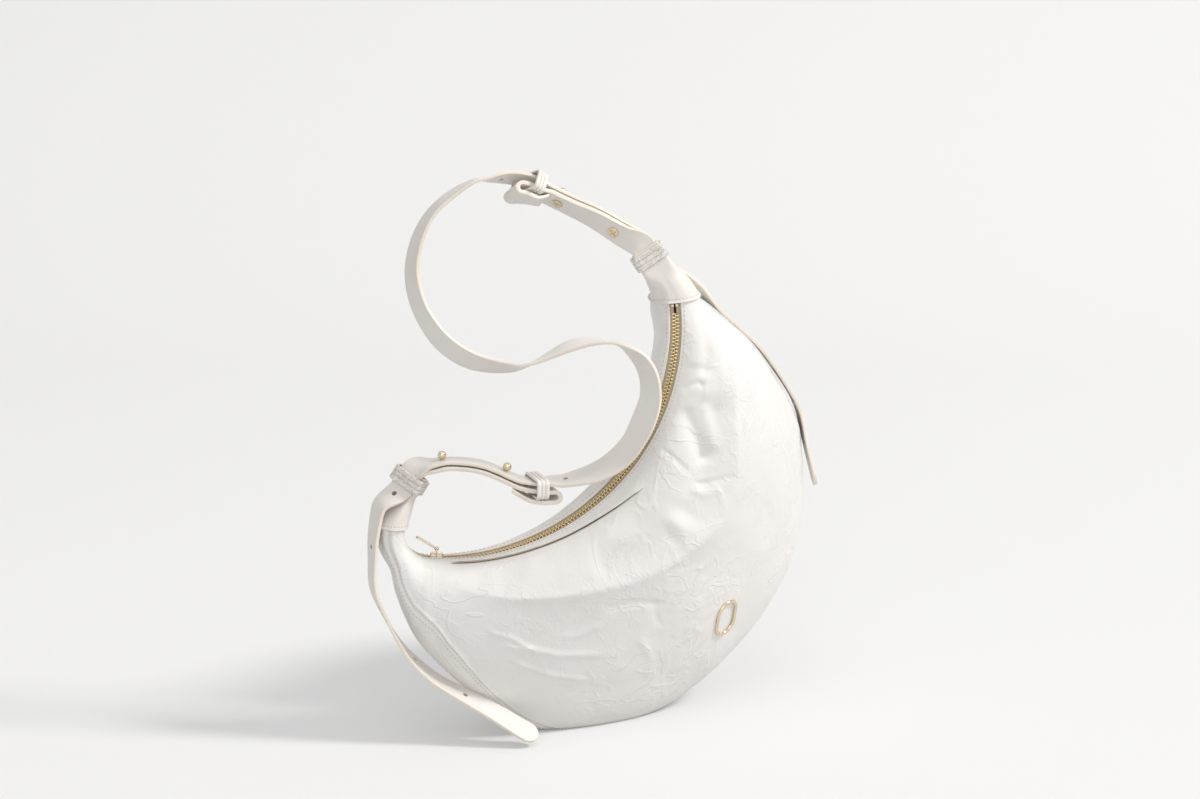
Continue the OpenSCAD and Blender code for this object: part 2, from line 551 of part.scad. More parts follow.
left_tail_shares = [
    [[-0.253, -0.071, -0.755], [-0.52, 0.83, 0.19]], [[-0.286, -0.07, -0.885], [-0.42, 0.90, 0.04]],
    [[-0.294, -0.076, -1.015], [-0.35, 0.94, 0]], [[-0.289, -0.086, -1.145], [-0.30, 0.95, -0.06]],
    [[-0.235, -0.092, -1.275], [-0.18, 0.98, -0.09]], [[-0.181, -0.103, -1.37], [-0.09, 0.99, -0.07]],
    [[-0.121, -0.108, -1.448], [0.04, 1, 0.03]], [[-0.022, -0.119, -1.534], [0.11, 0.98, 0.14]],
    [[0.106, -0.124, -1.608], [0.15, 0.95, 0.26]], [[0.219, -0.141, -1.667], [0.18, 0.92, 0.36]],
    [[0.333, -0.154, -1.735], [0.20, 0.88, 0.43]], [[0.409, -0.162, -1.778], [0.20, 0.85, 0.47]],
    [[0.485, -0.170, -1.82], [0.20, 0.85, 0.47]]];
right_tail_shares = [
    [[0.924, 0.102, 0.219], [-0.84, -0.08, -0.54]], [[0.942, 0.144, 0.204], [-0.84, 0, -0.54]],
    [[0.964, 0.204, 0.182], [-0.84, 0.05, -0.54]], [[1.004, 0.268, 0.159], [-0.83, 0.30, -0.40]],
    [[1.08, 0.322, 0.108], [-0.78, 0.60, -0.17]], [[1.173, 0.435, 0.011], [-0.65, 0.65, 0.39]],
    [[1.276, 0.605, -0.10], [-0.59, 0.69, 0.42]], [[1.384, 0.768, -0.224], [-0.46, 0.82, 0.35]],
    [[1.489, 0.881, -0.378], [-0.35, 0.91, 0.26]], [[1.584, 0.962, -0.549], [-0.21, 0.97, 0.14]],
    [[1.627, 0.951, -0.73], [-0.10, 1, -0.10]], [[1.67, 0.93, -0.908], [-0.10, 0.98, -0.10]],
    [[1.70, 0.91, -1.06], [-0.10, 0.98, -0.10]]];

stub_length = horn_keeper_width + 2 * keeper_inset;
tail_gap = 0.75 * turn_play;
steer = strap_width / 2;
strap = route(concat(
    [tip_line(2, turn_play - steer, strap_level), tip_line(2, turn_play, strap_level)],
    from_shares(strap_shares),
    [tip_line(-1, -turn_play, strap_level), tip_line(-1, steer - turn_play, strap_level)]));
tail_level = strap_level + 0.75 * strap_thickness;
left_tail = route(concat(
    [tip_line(-1, stub_length + tail_gap - steer, strap_level),
        tip_line(-1, stub_length + tail_gap, tail_level)], from_shares(left_tail_shares)));
right_tail = route(concat(
    [tip_line(2, steer - stub_length - tail_gap, strap_level),
        tip_line(2, -stub_length - tail_gap, tail_level)], from_shares(right_tail_shares)));

// Ribbon of leather with eased edges; each direction is as long as half the width there
edge_ease = strap_thickness / 4;
module ribbon(p, w, t) {
    n = len(p);
    points = [for (i = [0 : n - 1])
        let (d = unit(p[min(i + 1, n - 1)] - p[max(i - 1, 0)]), s = unit(cross(w[i], d)),
            h = norm(w[i]), u = w[i] / h, c = min(edge_ease, h / 2), y = t / 2)
        for (q = [[-h, -y + c], [-h + c, -y], [h - c, -y], [h, -y + c],
                [h, y - c], [h - c, y], [-h + c, y], [-h, y - c]])
            p[i] + u * q[0] + s * q[1]];
    faces = concat(
        [for (i = [0 : n - 2]) for (k = [0 : 7])
            let (a = 8 * i + k, b = 8 * i + (k + 1) % 8)
            each [[a, b + 8, a + 8], [a, b, b + 8]]],
        [[for (k = [7 : -1 : 0]) k], [for (k = [0 : 7]) 8 * (n - 1) + k]]);
    polyhedron(points, faces, convexity = 10);
}
ring_step = 2 * strap_thickness;
function marks(a, b) =
    let (n = max(ceil(abs(b - a) / ring_step), 1)) [for (i = [0 : n]) a + (b - a) * i / n];
hole_d = neck_d + 2 * stud_play;
module hole(r, a) {
    p = place(r, a);
    x = across(r, a);
    z = outer(r, a);
    y = cross(z, x);
    multmatrix([[x[0], y[0], z[0], p[0]], [x[1], y[1], z[1], p[1]], [x[2], y[2], z[2], p[2]],
        [0, 0, 0, 1]]) cylinder(d = hole_d, h = 2 * strap_thickness, center = true);
}

// The strap's stretch between the keepers, with its stud holes and one spare hole a side
stud_start = 24;
stud_places = [stud_start, stud_start + stud_spacing];
strap_end = total(strap);
module shoulder_strap() color(leather_white) difference() {
    a = marks(0, strap_end);
    ribbon([for (x = a) place(strap, x)], [for (x = a) across(strap, x) * strap_width / 2],
        strap_thickness);
    for (x = [for (i = [0 : 2]) stud_start + i * stud_spacing]) {
        hole(strap, x);
        hole(strap, strap_end - x);
    }
}
module strap_in_keeper(w, out) color(leather_white) {
    x = [for (i = [0 : 2]) -out * mix(keeper_inset, stub_length, i / 2)];
    q = [for (d = x) tip_line(w, d, strap_level)];
    ribbon([for (r = q) r[0]], [for (r = q) r[1] * strap_width / 2], strap_thickness);
}
module strap_in_keeper_left() strap_in_keeper(-1, -1);
module strap_in_keeper_right() strap_in_keeper(2, 1);

// Tails: round at the end, with a row of holes
tail_round_shares = [1, 0.7, 0.45, 0.25, 0.1, 0.02];
tail_hole = stud_spacing - stud_start - turn_play - stub_length - tail_gap;
module tail(r) color(leather_white) difference() {
    l = total(r);
    b = strap_width / 2;
    a = concat(marks(0, l - b), [for (s = tail_round_shares) if (s < 1) l - s * b]);
    h = [for (x = a) x < l - b ? b : sqrt(max(b * b - pow(x - l + b, 2), 0))];
    ribbon([for (x = a) place(r, x)], [for (i = [0 : len(a) - 1]) across(r, a[i]) * h[i]],
        strap_thickness);
    for (x = [tail_hole : stud_spacing : l - strap_width]) hole(r, x);
}
module strap_tail_left() tail(left_tail);
module strap_tail_right() tail(right_tail);

// Tabs: sewn into the cap, buttoned under the strap, folded back round the ring keeper
stack_play = 2 * layer_gap;
stack_gap = flange_t + stack_play;
stack = tab_thickness / 2 + stack_gap + strap_thickness / 2;
tip_stack = strap_level - bar_height - tip_depth / 2;
ring_start = stud_start + stud_spacing + 27;
ring_slant = 22;
fold_radius = (tab_thickness + keeper_leather + fold_play) / 2;
fold_start = ring_start + ring_keeper_width / 2 / cos(ring_slant)
    + strap_width / 2 * tan(ring_slant);
tab_root = stub_length + 2 * keeper_inset;
arm_back = 0.52 * stud_spacing;
// Distance from the strap's middle to the tab's, along the stack
function tab_below(x, spread) =
    lookup(x, [[0, tip_stack], [0.75 * stud_start, stack], [stud_places[1] + flange_d, stack],
        [ring_start, stack + spread], [fold_start, stack + spread]]);
function arm_below(x) =
    lookup(fold_start - x, [[0, 2 * fold_radius],
        [fold_start - ring_start + ring_keeper_width / 2 / cos(ring_slant), 2 * fold_radius],
        [arm_back, tab_thickness + stack_play]]);
function skew(x) = lookup(x, [[stud_places[1] + flange_d, 0], [ring_start, tan(ring_slant)]]);
// A place on the strap counted from either keeper
function along(x, s) = s > 0 ? x : strap_end - x;
function tab_point(x, s, below) = place(strap, along(x, s)) - outer(strap, along(x, s)) * below;
function tab_across(x, s) =
    (across(strap, along(x, s)) + forward(strap, along(x, s)) * skew(x)) * strap_width / 2;
fold_turns = 8;
module tab(w, s, spread) color(leather_white) difference() {
    roots = [for (x = [-tab_root, -tab_root / 2, 0])
        tip_line(w, s * (turn_play + x), bar_height + tip_depth / 2)];
    main = [for (x = marks(0, fold_start)) if (x > 0) x];
    arm = marks(fold_start, fold_start - arm_back);
    b = along(fold_start, s);
    centre = tab_point(fold_start, s, tab_below(fold_start, spread) + fold_radius);
    up = outer(strap, b);
    on = forward(strap, b) * s;
    turns = [for (i = [1 : fold_turns - 1]) 180 * i / fold_turns];
    ribbon(concat([for (r = roots) r[0]],
            [for (x = main) tab_point(x, s, tab_below(x, spread))],
            [for (a = turns) centre + fold_radius * (up * cos(a) + on * sin(a))],
            [for (x = arm) tab_point(x, s, tab_below(x, spread) + arm_below(x))]),
        concat([for (r = roots) r[1] * strap_width / 2], [for (x = main) tab_across(x, s)],
            [for (a = turns) tab_across(fold_start, s)],
            [for (x = arm) tab_across(x, s)]), tab_thickness);
    for (x = stud_places) on_stack(x, s) cylinder(d = shank_d + 2 * stud_play, h = 4 * stack,
        center = true);
}
spread_right = 3.5;
spread_left = 2;
module tab_left() tab(-1, -1, spread_left);
module tab_right() tab(2, 1, spread_right);
// Places anything on the strap: z outwards, x across, origin in the strap's middle
module on_stack(x, s, turn = 0) {
    a = along(x, s);
    p = place(strap, a);
    u = unit(across(strap, a) + forward(strap, a) * tan(turn));
    z = outer(strap, a);
    y = cross(z, u);
    multmatrix([[u[0], y[0], z[0], p[0]], [u[1], y[1], z[1], p[1]], [u[2], y[2], z[2], p[2]],
        [0, 0, 0, 1]]) children();
}
ring_room = 4 * keeper_play;
module ring_keeper(s, spread) color(leather_white) on_stack(ring_start, s, ring_slant)
    rotate([90, 0, 0]) rotate([0, 0, 90])
        band(-stack - spread - tab_thickness / 2 - ring_room, strap_thickness / 2 + ring_room,
            (strap_width / 2 + strap_play) / cos(ring_slant)
            + ring_keeper_width / 2 * tan(ring_slant), ring_keeper_width);
module ring_keeper_left() ring_keeper(-1, spread_left);
module ring_keeper_right() ring_keeper(1, spread_right);

// Ball studs and their screws
shank_d = 0.7 * neck_d;
shank_in = flange_t + strap_thickness / 2;
tab_face = stack - tab_thickness / 2;
ball_level = strap_thickness / 2 + stack_play + ball_d / 2;
module ball_studs() color(pale_gold) for (s = [-1, 1]) for (x = stud_places) on_stack(x, s)
    difference() {
        union() {
            translate([0, 0, -tab_face + layer_gap]) cylinder(d = flange_d, h = flange_t);
            translate([0, 0, -tab_face]) cylinder(d = neck_d, h = tab_face + ball_level);
            translate([0, 0, ball_level]) sphere(d = ball_d);
        }
        translate([0, 0, -tab_face - overrun])
            cylinder(d = shank_d + layer_gap, h = shank_in + overrun + layer_gap);
    }
module stud_screws() color(pale_gold) for (s = [-1, 1]) for (x = stud_places) on_stack(x, s)
    translate([0, 0, -tab_face - tab_thickness - stack_play]) {
        translate([0, 0, -flange_t]) cylinder(d = flange_d, h = flange_t);
        translate([0, 0, -flange_t]) cylinder(d = shank_d,
            h = flange_t + stack_play + tab_thickness + shank_in);
    }

// Emblem: a plain oval ring with two prongs that washers hold behind the leather
emblem_at = [0.46, 5.78];
emblem_turn = 12;
prong_d = emblem_wire / 2;
emblem_depth = 3 * emblem_wire;
washer_d = 3 * prong_d;
washer_t = lining_cloth;
prong_reach = emblem_height / 2 - emblem_wire / 2;
emblem_drop = 0.38 * pow(emblem_width / 2, 2) / front_bulge;
emblem_lift = emblem_wire / 2 + layer_gap - emblem_drop;
module on_emblem() {
    e = step / bag_depth;
    p = side_point(emblem_at[0], -1, emblem_at[1]) + mouth_centre;
    a = side_point(emblem_at[0] + e, -1, emblem_at[1]) + mouth_centre - p;
    b = side_point(emblem_at[0], -1, emblem_at[1] - e) + mouth_centre - p;
    z = unit(cross(a, b));
    v = unit([0, 0, 1] - z * z[2]);
    u = cross(v, z);
    multmatrix([[u[0], v[0], z[0], p[0]], [u[1], v[1], z[1], p[1]], [u[2], v[2], z[2], p[2]],
        [0, 0, 0, 1]]) rotate([0, 0, emblem_turn]) children();
}
module emblem_ring() color(pale_gold) on_emblem() translate([0, 0, emblem_lift]) {
    r = (emblem_width - emblem_wire) / 2;
    l = emblem_height - emblem_width;
    for (s = [-1, 1]) {
        translate([0, s * l / 2, 0]) rotate([0, 0, s > 0 ? 0 : 180])
            rotate_extrude(angle = 180) translate([r, 0]) circle(d = emblem_wire);
        translate([s * r, -l / 2, 0]) rotate([-90, 0, 0]) cylinder(d = emblem_wire, h = l);
        translate([0, s * prong_reach, -prong_length]) cylinder(d = prong_d, h = prong_length);
    }
}
emblem_sag = 0.8 * pow(prong_reach, 2) / front_bulge;
prong_length = emblem_lift + emblem_sag + leather + layer_gap + washer_t;
module emblem_washers() color(pale_gold) on_emblem() for (s = [-1, 1])
    translate([0, s * prong_reach, -prong_length + emblem_lift]) difference() {
        cylinder(d = washer_d, h = washer_t);
        translate([0, 0, -overrun]) cylinder(d = prong_d + layer_gap, h = washer_t + 2 * overrun);
    }

front_panel();
back_panel();
bottom_gusset();
lining();
front_pocket_bag();
zip_tape_front();
zip_tape_back();
zip_teeth_front();
zip_teeth_back();
zip_stops();
zip_slider();
zip_pull_ring();
zip_pull();
cap_left();
cap_right();
horn_keeper_left();
horn_keeper_right();
strap_in_keeper_left();
strap_in_keeper_right();
strap_tail_left();
strap_tail_right();
tab_left();
tab_right();
ring_keeper_left();
ring_keeper_right();
shoulder_strap();
ball_studs();
stud_screws();
emblem_ring();
emblem_washers();
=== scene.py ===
"""Half moon bag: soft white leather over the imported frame, in the frame's own metres."""
import math
import bpy
import numpy as np
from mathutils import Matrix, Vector


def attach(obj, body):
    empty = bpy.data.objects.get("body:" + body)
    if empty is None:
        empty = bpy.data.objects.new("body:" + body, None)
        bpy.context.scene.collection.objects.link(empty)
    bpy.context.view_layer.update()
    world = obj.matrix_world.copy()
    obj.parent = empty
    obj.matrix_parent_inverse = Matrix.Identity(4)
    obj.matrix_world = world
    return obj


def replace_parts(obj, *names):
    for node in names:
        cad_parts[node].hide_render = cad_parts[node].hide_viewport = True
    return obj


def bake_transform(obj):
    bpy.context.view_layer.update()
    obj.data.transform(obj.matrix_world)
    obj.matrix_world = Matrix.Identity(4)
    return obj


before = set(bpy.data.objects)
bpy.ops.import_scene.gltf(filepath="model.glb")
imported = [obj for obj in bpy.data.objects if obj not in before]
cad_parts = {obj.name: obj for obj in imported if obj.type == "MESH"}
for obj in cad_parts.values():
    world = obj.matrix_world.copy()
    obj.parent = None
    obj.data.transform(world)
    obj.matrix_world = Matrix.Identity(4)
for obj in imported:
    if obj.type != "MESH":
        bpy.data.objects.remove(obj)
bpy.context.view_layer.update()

# ---------------------------------------------------------------- camera, light and floor
# A long lens looks at the front from a little above, as the photograph's does. One lamp far away
# at the right throws the soft shadow to the left, and two wide lamps and a pale world fill in.
# Floor and wall are one sheet of pale studio paper, hung from above and rolled out forwards.
photo_wide, photo_high = 1200, 799
lens_mm, sensor_mm = 90, 36
view_rise, view_away = 11, 2.4


def direction(azimuth, elevation):
    a, e = math.radians(azimuth), math.radians(elevation)
    return Vector((math.sin(a) * math.cos(e), -math.cos(a) * math.cos(e), math.sin(e)))


def aim(thing, place, target):
    thing.location = place
    thing.rotation_euler = (target - place).to_track_quat("-Z", "Y").to_euler()


target = Vector((0.004233, -0.0096, 0.268484))
camera = bpy.data.objects.new("camera", bpy.data.cameras.new("camera"))
bpy.context.scene.collection.objects.link(camera)
camera.data.sensor_width = sensor_mm
camera.data.lens = lens_mm
camera.data.clip_end = 50
aim(camera, target + direction(0, view_rise) * view_away, target)
bpy.context.scene.camera = camera
bpy.context.scene.view_settings.view_transform = "Standard"


def srgb(code):
    """An sRGB hex colour as linear red, green, blue and alpha."""
    parts = [int(code[i:i + 2], 16) / 255 for i in (1, 3, 5)]
    return tuple(c / 12.92 if c <= 0.04045 else ((c + 0.055) / 1.055) ** 2.4 for c in parts) + (1,)


def add(tree, kind, inputs=None, **values):
    """One shader node: inputs are numbers, colours or links, by name or place."""
    made = tree.nodes.new("ShaderNode" + kind)
    for key, value in values.items():
        setattr(made, key, value)
    for key, value in (inputs or {}).items():
        if isinstance(value, bpy.types.NodeSocket):
            tree.links.new(value, made.inputs[key])
        else:
            made.inputs[key].default_value = value
    return made


def material(name):
    made = bpy.data.materials.new(name)
    made.use_nodes = True
    tree = made.node_tree
    return made, tree, tree.nodes["Principled BSDF"]


def lamp(name, size, power, azimuth, elevation, distance, colour="#ffffff"):
    """A round lamp at two angles from the bag: size and distance in metres, power in watts."""
    light = bpy.data.lights.new(name, "AREA")
    light.shape = "DISK"
    light.size = size
    light.energy = power
    light.color = srgb(colour)[:3]
    thing = bpy.data.objects.new(name, light)
    bpy.context.scene.collection.objects.link(thing)
    aim(thing, target + direction(azimuth, elevation) * distance, target)


lamp("key", 3.1, 1230, 80, 43, 14.0, "#fffdfa")
lamp("soft_front", 5.0, 78, 5, 26, 6.0)
lamp("soft_top", 4.0, 32, -10, 78, 5.0)


def seen_value(tree, unseen, seen):
    """Seen by the camera, or in metal and glass: one strength; as light on the object: another."""
    ray = add(tree, "LightPath").outputs
    shiny = add(tree, "Math", {0: ray["Is Glossy Ray"], 1: ray["Is Transmission Ray"]},
                operation="MAXIMUM")
    either = add(tree, "Math", {0: ray["Is Camera Ray"], 1: shiny.outputs["Value"]},
                 operation="MAXIMUM")
    return add(tree, "MapRange", {"Value": either.outputs["Value"], "To Min": unseen,
                                  "To Max": seen}).outputs["Result"]


world_light, world_seen, paper_lift = 0.5, 0.8, 0.19
world = bpy.data.worlds.new("studio")
world.use_nodes = True
sky = world.node_tree.nodes["Background"]
sky.inputs["Color"].default_value = srgb("#ffffff")
world.node_tree.links.new(seen_value(world.node_tree, world_light, world_seen),
                          sky.inputs["Strength"])
bpy.context.scene.world = world

# Uncoated background paper: dead matt pale grey that takes the shadow and never shines.
paper, tree, shader = material("studio_paper")
shader.inputs["Base Color"].default_value = srgb("#cfcfcf")
shader.inputs["Roughness"].default_value = 0.75
shader.inputs["Specular IOR Level"].default_value = 0.2
shader.inputs["Emission Color"].default_value = srgb("#ffffff")
tree.links.new(seen_value(tree, 0.0, paper_lift), shader.inputs["Emission Strength"])


def backdrop():
    """A seamless sweep: floor, wide bend, wall."""
    floor_from, floor_to, bend, top, half, steps = -7.0, 1.6, 1.4, 5.0, 9.0, 24
    line = [(floor_from, 0.0), (floor_to, 0.0)]
    line += [(floor_to + bend * math.sin(t), bend * (1 - math.cos(t)))
             for t in np.linspace(0, math.pi / 2, steps)[1:]]
    line += [(floor_to + bend, top)]
    points = [(x, y, z) for y, z in line for x in (-half, half)]
    faces = [(2 * i, 2 * i + 1, 2 * i + 3, 2 * i + 2) for i in range(len(line) - 1)]
    mesh = bpy.data.meshes.new("backdrop")
    mesh.from_pydata(points, [], faces)
    mesh.shade_smooth()
    mesh.materials.append(paper)
    thing = bpy.data.objects.new("backdrop", mesh)
    bpy.context.scene.collection.objects.link(thing)


backdrop()


# ---------------------------------------------------------------- front, back and bottom leather
# Two half moon panels and the bent strip between them, cut from soft crumpled calf 1.6 mm thick.
# They are sewn inside out and turned, so each seam is drawn in, and a row of thread holds the
# turned edges flat beside it. The front has a curved slit for its pocket, its edges painted.
MM = 0.001
RAD = math.pi / 180


def waves(mm):
    """A texture's scale, in waves for each metre, from a real size in millimetres."""
    return 1000 / mm


def leather(name, base, shade, rough, crumple, grain, coat=0.12):
    """Calf: two close tones in clouds, crease lines in patches, swells, pores and worn gloss.

    crumple holds, for each kind of crease, its spacing in mm, strength, stretch and seed."""
    tone_size, swell_size, pore_size, patch_size = 71.4286, 16.6667, 0.909091, 100
    made, tree, shader = material(name)
    place = add(tree, "TexCoord").outputs["Object"]
    cloud = add(tree, "TexNoise", {"Vector": place, "Scale": waves(tone_size), "Detail": 4,
                                   "Roughness": 0.55})
    tone = add(tree, "MapRange", {"Value": cloud.outputs["Fac"], "From Min": 0.3, "From Max": 0.75})
    colour = add(tree, "Mix", {0: tone.outputs["Result"], 6: srgb(base), 7: srgb(shade)},
                 data_type="RGBA")
    height = None
    for size, amount, stretch, seed in crumple:
        run = add(tree, "Mapping", {"Vector": place, "Scale": stretch, "Location": (seed, 0, seed)})
        ridge = add(tree, "TexNoise", {"Vector": run.outputs["Vector"], "Scale": waves(size),
                                       "Detail": 2.5, "Roughness": 0.45, "Distortion": 0.6})
        off = add(tree, "Math", {0: ridge.outputs["Fac"], 1: 0.5}, operation="SUBTRACT")
        off = add(tree, "Math", {0: off.outputs["Value"]}, operation="ABSOLUTE")
        line = add(tree, "MapRange", {"Value": off.outputs["Value"], "From Min": 0,
                                      "From Max": 0.045, "To Min": 1, "To Max": 0},
                   interpolation_type="SMOOTHERSTEP")
        patch = add(tree, "TexNoise", {"Vector": place, "Scale": waves(patch_size) + seed,
                                       "Detail": 2, "W": seed}, noise_dimensions="4D")
        mask = add(tree, "MapRange", {"Value": patch.outputs["Fac"], "From Min": 0.46,
                                      "From Max": 0.62, "To Min": 0, "To Max": amount},
                   interpolation_type="SMOOTHSTEP")
        part = add(tree, "Math", {0: line.outputs["Result"], 1: mask.outputs["Result"]},
                   operation="MULTIPLY")
        height = part if height is None else add(
            tree, "Math", {0: height.outputs["Value"], 1: part.outputs["Value"]}, operation="ADD")
    swell = add(tree, "TexNoise", {"Vector": place, "Scale": waves(swell_size), "Detail": 3,
                                   "Roughness": 0.5})
    normal = add(tree, "Bump", {"Height": swell.outputs["Fac"], "Strength": 0.35,
                                "Distance": 0.0012})
    if height is not None:
        normal = add(tree, "Bump", {"Height": height.outputs["Value"], "Strength": 0.8,
                                    "Distance": 0.0007, "Normal": normal.outputs["Normal"]})
    pores = add(tree, "TexVoronoi", {"Vector": place, "Scale": waves(pore_size)}, feature="F1")
    normal = add(tree, "Bump", {"Height": pores.outputs["Distance"], "Strength": grain,
                                "Distance": 0.0002, "Normal": normal.outputs["Normal"]})
    worn = add(tree, "MapRange", {"Value": swell.outputs["Fac"], "From Min": 0.25, "From Max": 0.75,
                                  "To Min": rough - 0.06, "To Max": rough + 0.08})
    tree.links.new(colour.outputs[2], shader.inputs["Base Color"])
    tree.links.new(worn.outputs["Result"], shader.inputs["Roughness"])
    tree.links.new(normal.outputs["Normal"], shader.inputs["Normal"])
    shader.inputs["Coat Weight"].default_value = coat
    shader.inputs["Coat Roughness"].default_value = 0.28
    return made


# Aniline calf, tumbled and crumpled by hand: soft matt white with a faint wax sheen and broken
# crease lines in patches. The finest are drawn 11 mm apart, coarser than real, so that they show.
crumpled = leather("crumpled_calf", "#ebe9e6", "#e5e2de", 0.40,
                   [(38.4615, 0.5, (1, 1, 0.6), 1.0), (20.8333, 0.5, (0.6, 1, 1), 5.0),
                    (11.1111, 0.3, (1, 1, 0.8), 9.0)], 0.25, 0.2)
# The flesh side of the same hide, left raw: matt and darker.
# Part of its darkness is painted shade, so that slits and gaps look deep.
flesh_side_and_shade = leather("flesh_side_and_shade", "#cfc5b6", "#c2b7a6", 0.85, [], 0.5, 0)
# Acrylic edge paint, two coats rubbed smooth: a warm cream line with a half gloss.
edge_paint = leather("edge_paint", "#efe6da", "#e6dacb", 0.35, [], 0.1, 0.3)

# The form: the same path, sections and seams that the solids have, read at a finer step.
bag_depth, front_bulge, back_bulge = 262.0, 72.0, 54.0
skin, gap = 1.6, 0.15
gusset_width, base_press = 52.0, 7.0
zip_radius, zip_start, zip_turn, slider_rest, twist_rate = 185.0, -3.0, 98.0, -1.4, 0.98
lip_gap, tape_width, tape_thickness = 10.0, 13.0, 0.6
tooth_length, tooth_height = 3.4, 2.4
slider_wall, slider_play, bar_d = 1.0, 0.45, 1.6
ring_wire, ring_play = 1.2, 0.25
strap_width, tab_thick, keeper_width = 20.0, 3.6, 12.0
slider_half = tooth_height / 2 + slider_play + slider_wall
chain_depth = skin + gap + tape_thickness / 2
ring_radius = bar_d / 2 + ring_play + ring_wire / 2
bar_height = slider_half - chain_depth + ring_radius + ring_wire / 2 + ring_play
tooth_reach = 0.85 * tooth_length
tape_inner = tooth_reach + gap
centre = np.array((-121.367, -44.5996, 335.884))

left_bend, left_straight, right_bend, right_straight = 21.0, 21.0, 30.0, 34.0
tip_straight = keeper_width + 2
left_turn, left_tip_bend, left_tip_turn, right_turn = 88.0, 1.05 * left_bend, 30.0, 28.0
left_tip_twist, left_twist_power = -65.0, 1.3
zip_end = zip_start + zip_turn
start_twist = twist_rate * (zip_start - slider_rest)


def on_arc(c, r, a):
    """The point at angle a, in degrees from straight down, on the arc of radius r about c."""
    return np.array((c[0] + r * math.sin(a * RAD), c[1] - r * math.cos(a * RAD)))


def heading(a):
    """Forward along the mouth at angle a."""
    return np.array((math.cos(a * RAD), math.sin(a * RAD)))


left_c1 = on_arc((0, 0), zip_radius - left_bend, zip_start)
left_a1 = zip_start - left_turn
left_a2 = left_a1 - left_tip_turn
left_p2 = on_arc(left_c1, left_bend, left_a1) - left_straight * heading(left_a1)
left_c2 = on_arc(left_p2, -left_tip_bend, left_a1)
left_l1 = left_bend * left_turn * RAD
left_l2 = left_l1 + left_straight
left_l3 = left_l2 + left_tip_bend * left_tip_turn * RAD
left_horn = left_l3 + tip_straight
right_c1 = on_arc((0, 0), zip_radius - right_bend, zip_end)
right_a1 = zip_end + right_turn
right_l1 = right_bend * right_turn * RAD
right_horn = right_l1 + right_straight
zip_length = zip_radius * zip_turn * RAD


def path(w):
    """Place and angle along the mouth: 0 to 1 over the zip, below 0 left horn, above 1 right."""
    if w < 0:
        s = -w * left_horn
        if s < left_l1:
            a = zip_start - s / left_bend / RAD
            return on_arc(left_c1, left_bend, a), a
        if s < left_l2:
            return left_p2 + (left_l2 - s) * heading(left_a1), left_a1
        if s < left_l3:
            a = left_a1 - (s - left_l2) / left_tip_bend / RAD
            return on_arc(left_c2, left_tip_bend, a), a
        return on_arc(left_c2, left_tip_bend, left_a2) - (s - left_l3) * heading(left_a2), left_a2
    if w > 1:
        s = (w - 1) * right_horn
        if s < right_l1:
            a = zip_end + s / right_bend / RAD
            return on_arc(right_c1, right_bend, a), a
        return (on_arc(right_c1, right_bend, right_a1) + (s - right_l1) * heading(right_a1),
                right_a1)
    a = zip_start + w * zip_turn
    return on_arc((0, 0), zip_radius, a), a


def path_frame(w):
    """Place, forward, into the bag and towards the back, at w along the mouth."""
    p, a = path(w)
    if w < 0:
        s = start_twist + (left_tip_twist - start_twist) * (
            min(-w * left_horn / left_l3, 1) ** left_twist_power)
    else:
        s = start_twist + twist_rate * zip_turn * min(w, 1)
    e = np.array((math.sin(a * RAD), 0, -math.cos(a * RAD)))
    y = np.array((0, 1.0, 0))
    c, n = math.cos(s * RAD), math.sin(s * RAD)
    return (centre + np.array((p[0], 0, p[1])), np.array((math.cos(a * RAD), 0, math.sin(a * RAD))),
            c * e + n * y, c * y - n * e)


def smooth_row(t, x):
    """Values of a table of rows [place, value, ...] at x, smooth and with no overshoot."""
    i = max([k for k in range(len(t) - 1) if t[k][0] <= x] or [0])
    h = t[i + 1][0] - t[i][0]
    u = min(max((x - t[i][0]) / h, 0), 1)

    def rise(k, c):
        return (t[k + 1][c] - t[k][c]) / (t[k + 1][0] - t[k][0])

    def slope(k, c):
        if k == 0 or k == len(t) - 1:
            return rise(min(k, len(t) - 2), c)
        a, b = rise(k - 1, c), rise(k, c)
        return 0 if a * b <= 0 else 2 * a * b / (a + b)

    return [(2 * u ** 3 - 3 * u * u + 1) * t[i][c] + (3 * u * u - 2 * u ** 3) * t[i + 1][c]
            + h * (u ** 3 - 2 * u * u + u) * slope(i, c) + h * (u ** 3 - u * u) * slope(i + 1, c)
            for c in range(1, len(t[0]))]


# Depth, front bulge and back bulge, as shares of the largest, along the mouth.
body_shares = [
    (-0.43, 0.073, 0.22, 0.28), (-0.31, 0.077, 0.26, 0.34), (-0.205, 0.087, 0.31, 0.39),
    (-0.11, 0.145, 0.36, 0.45), (0.00, 0.29, 0.43, 0.52), (0.07, 0.425, 0.53, 0.62),
    (0.145, 0.565, 0.63, 0.74), (0.25, 0.70, 0.75, 0.87), (0.35, 0.805, 0.85, 0.95),
    (0.48, 0.93, 0.945, 1.00), (0.61, 1.00, 1.00, 0.98), (0.72, 0.975, 0.985, 0.84),
    (0.82, 0.77, 0.86, 0.58), (0.90, 0.525, 0.64, 0.39), (0.955, 0.35, 0.44, 0.35),
    (1.00, 0.223, 0.30, 0.31), (1.34, 0.118, 0.19, 0.24)]
tip_depth = tab_thick + 6 * gap
tip_half = strap_width / 2 + 3 * gap
body_table = ([(w, tip_depth, tip_half, tip_half, 1) for w in (-1.1, -0.77)]
              + [(w, d * bag_depth, f * front_bulge, b * back_bulge, 0)
                 for w, d, f, b in body_shares]
              + [(w, tip_depth, tip_half, tip_half, 1) for w in (1.68, 2.1)])
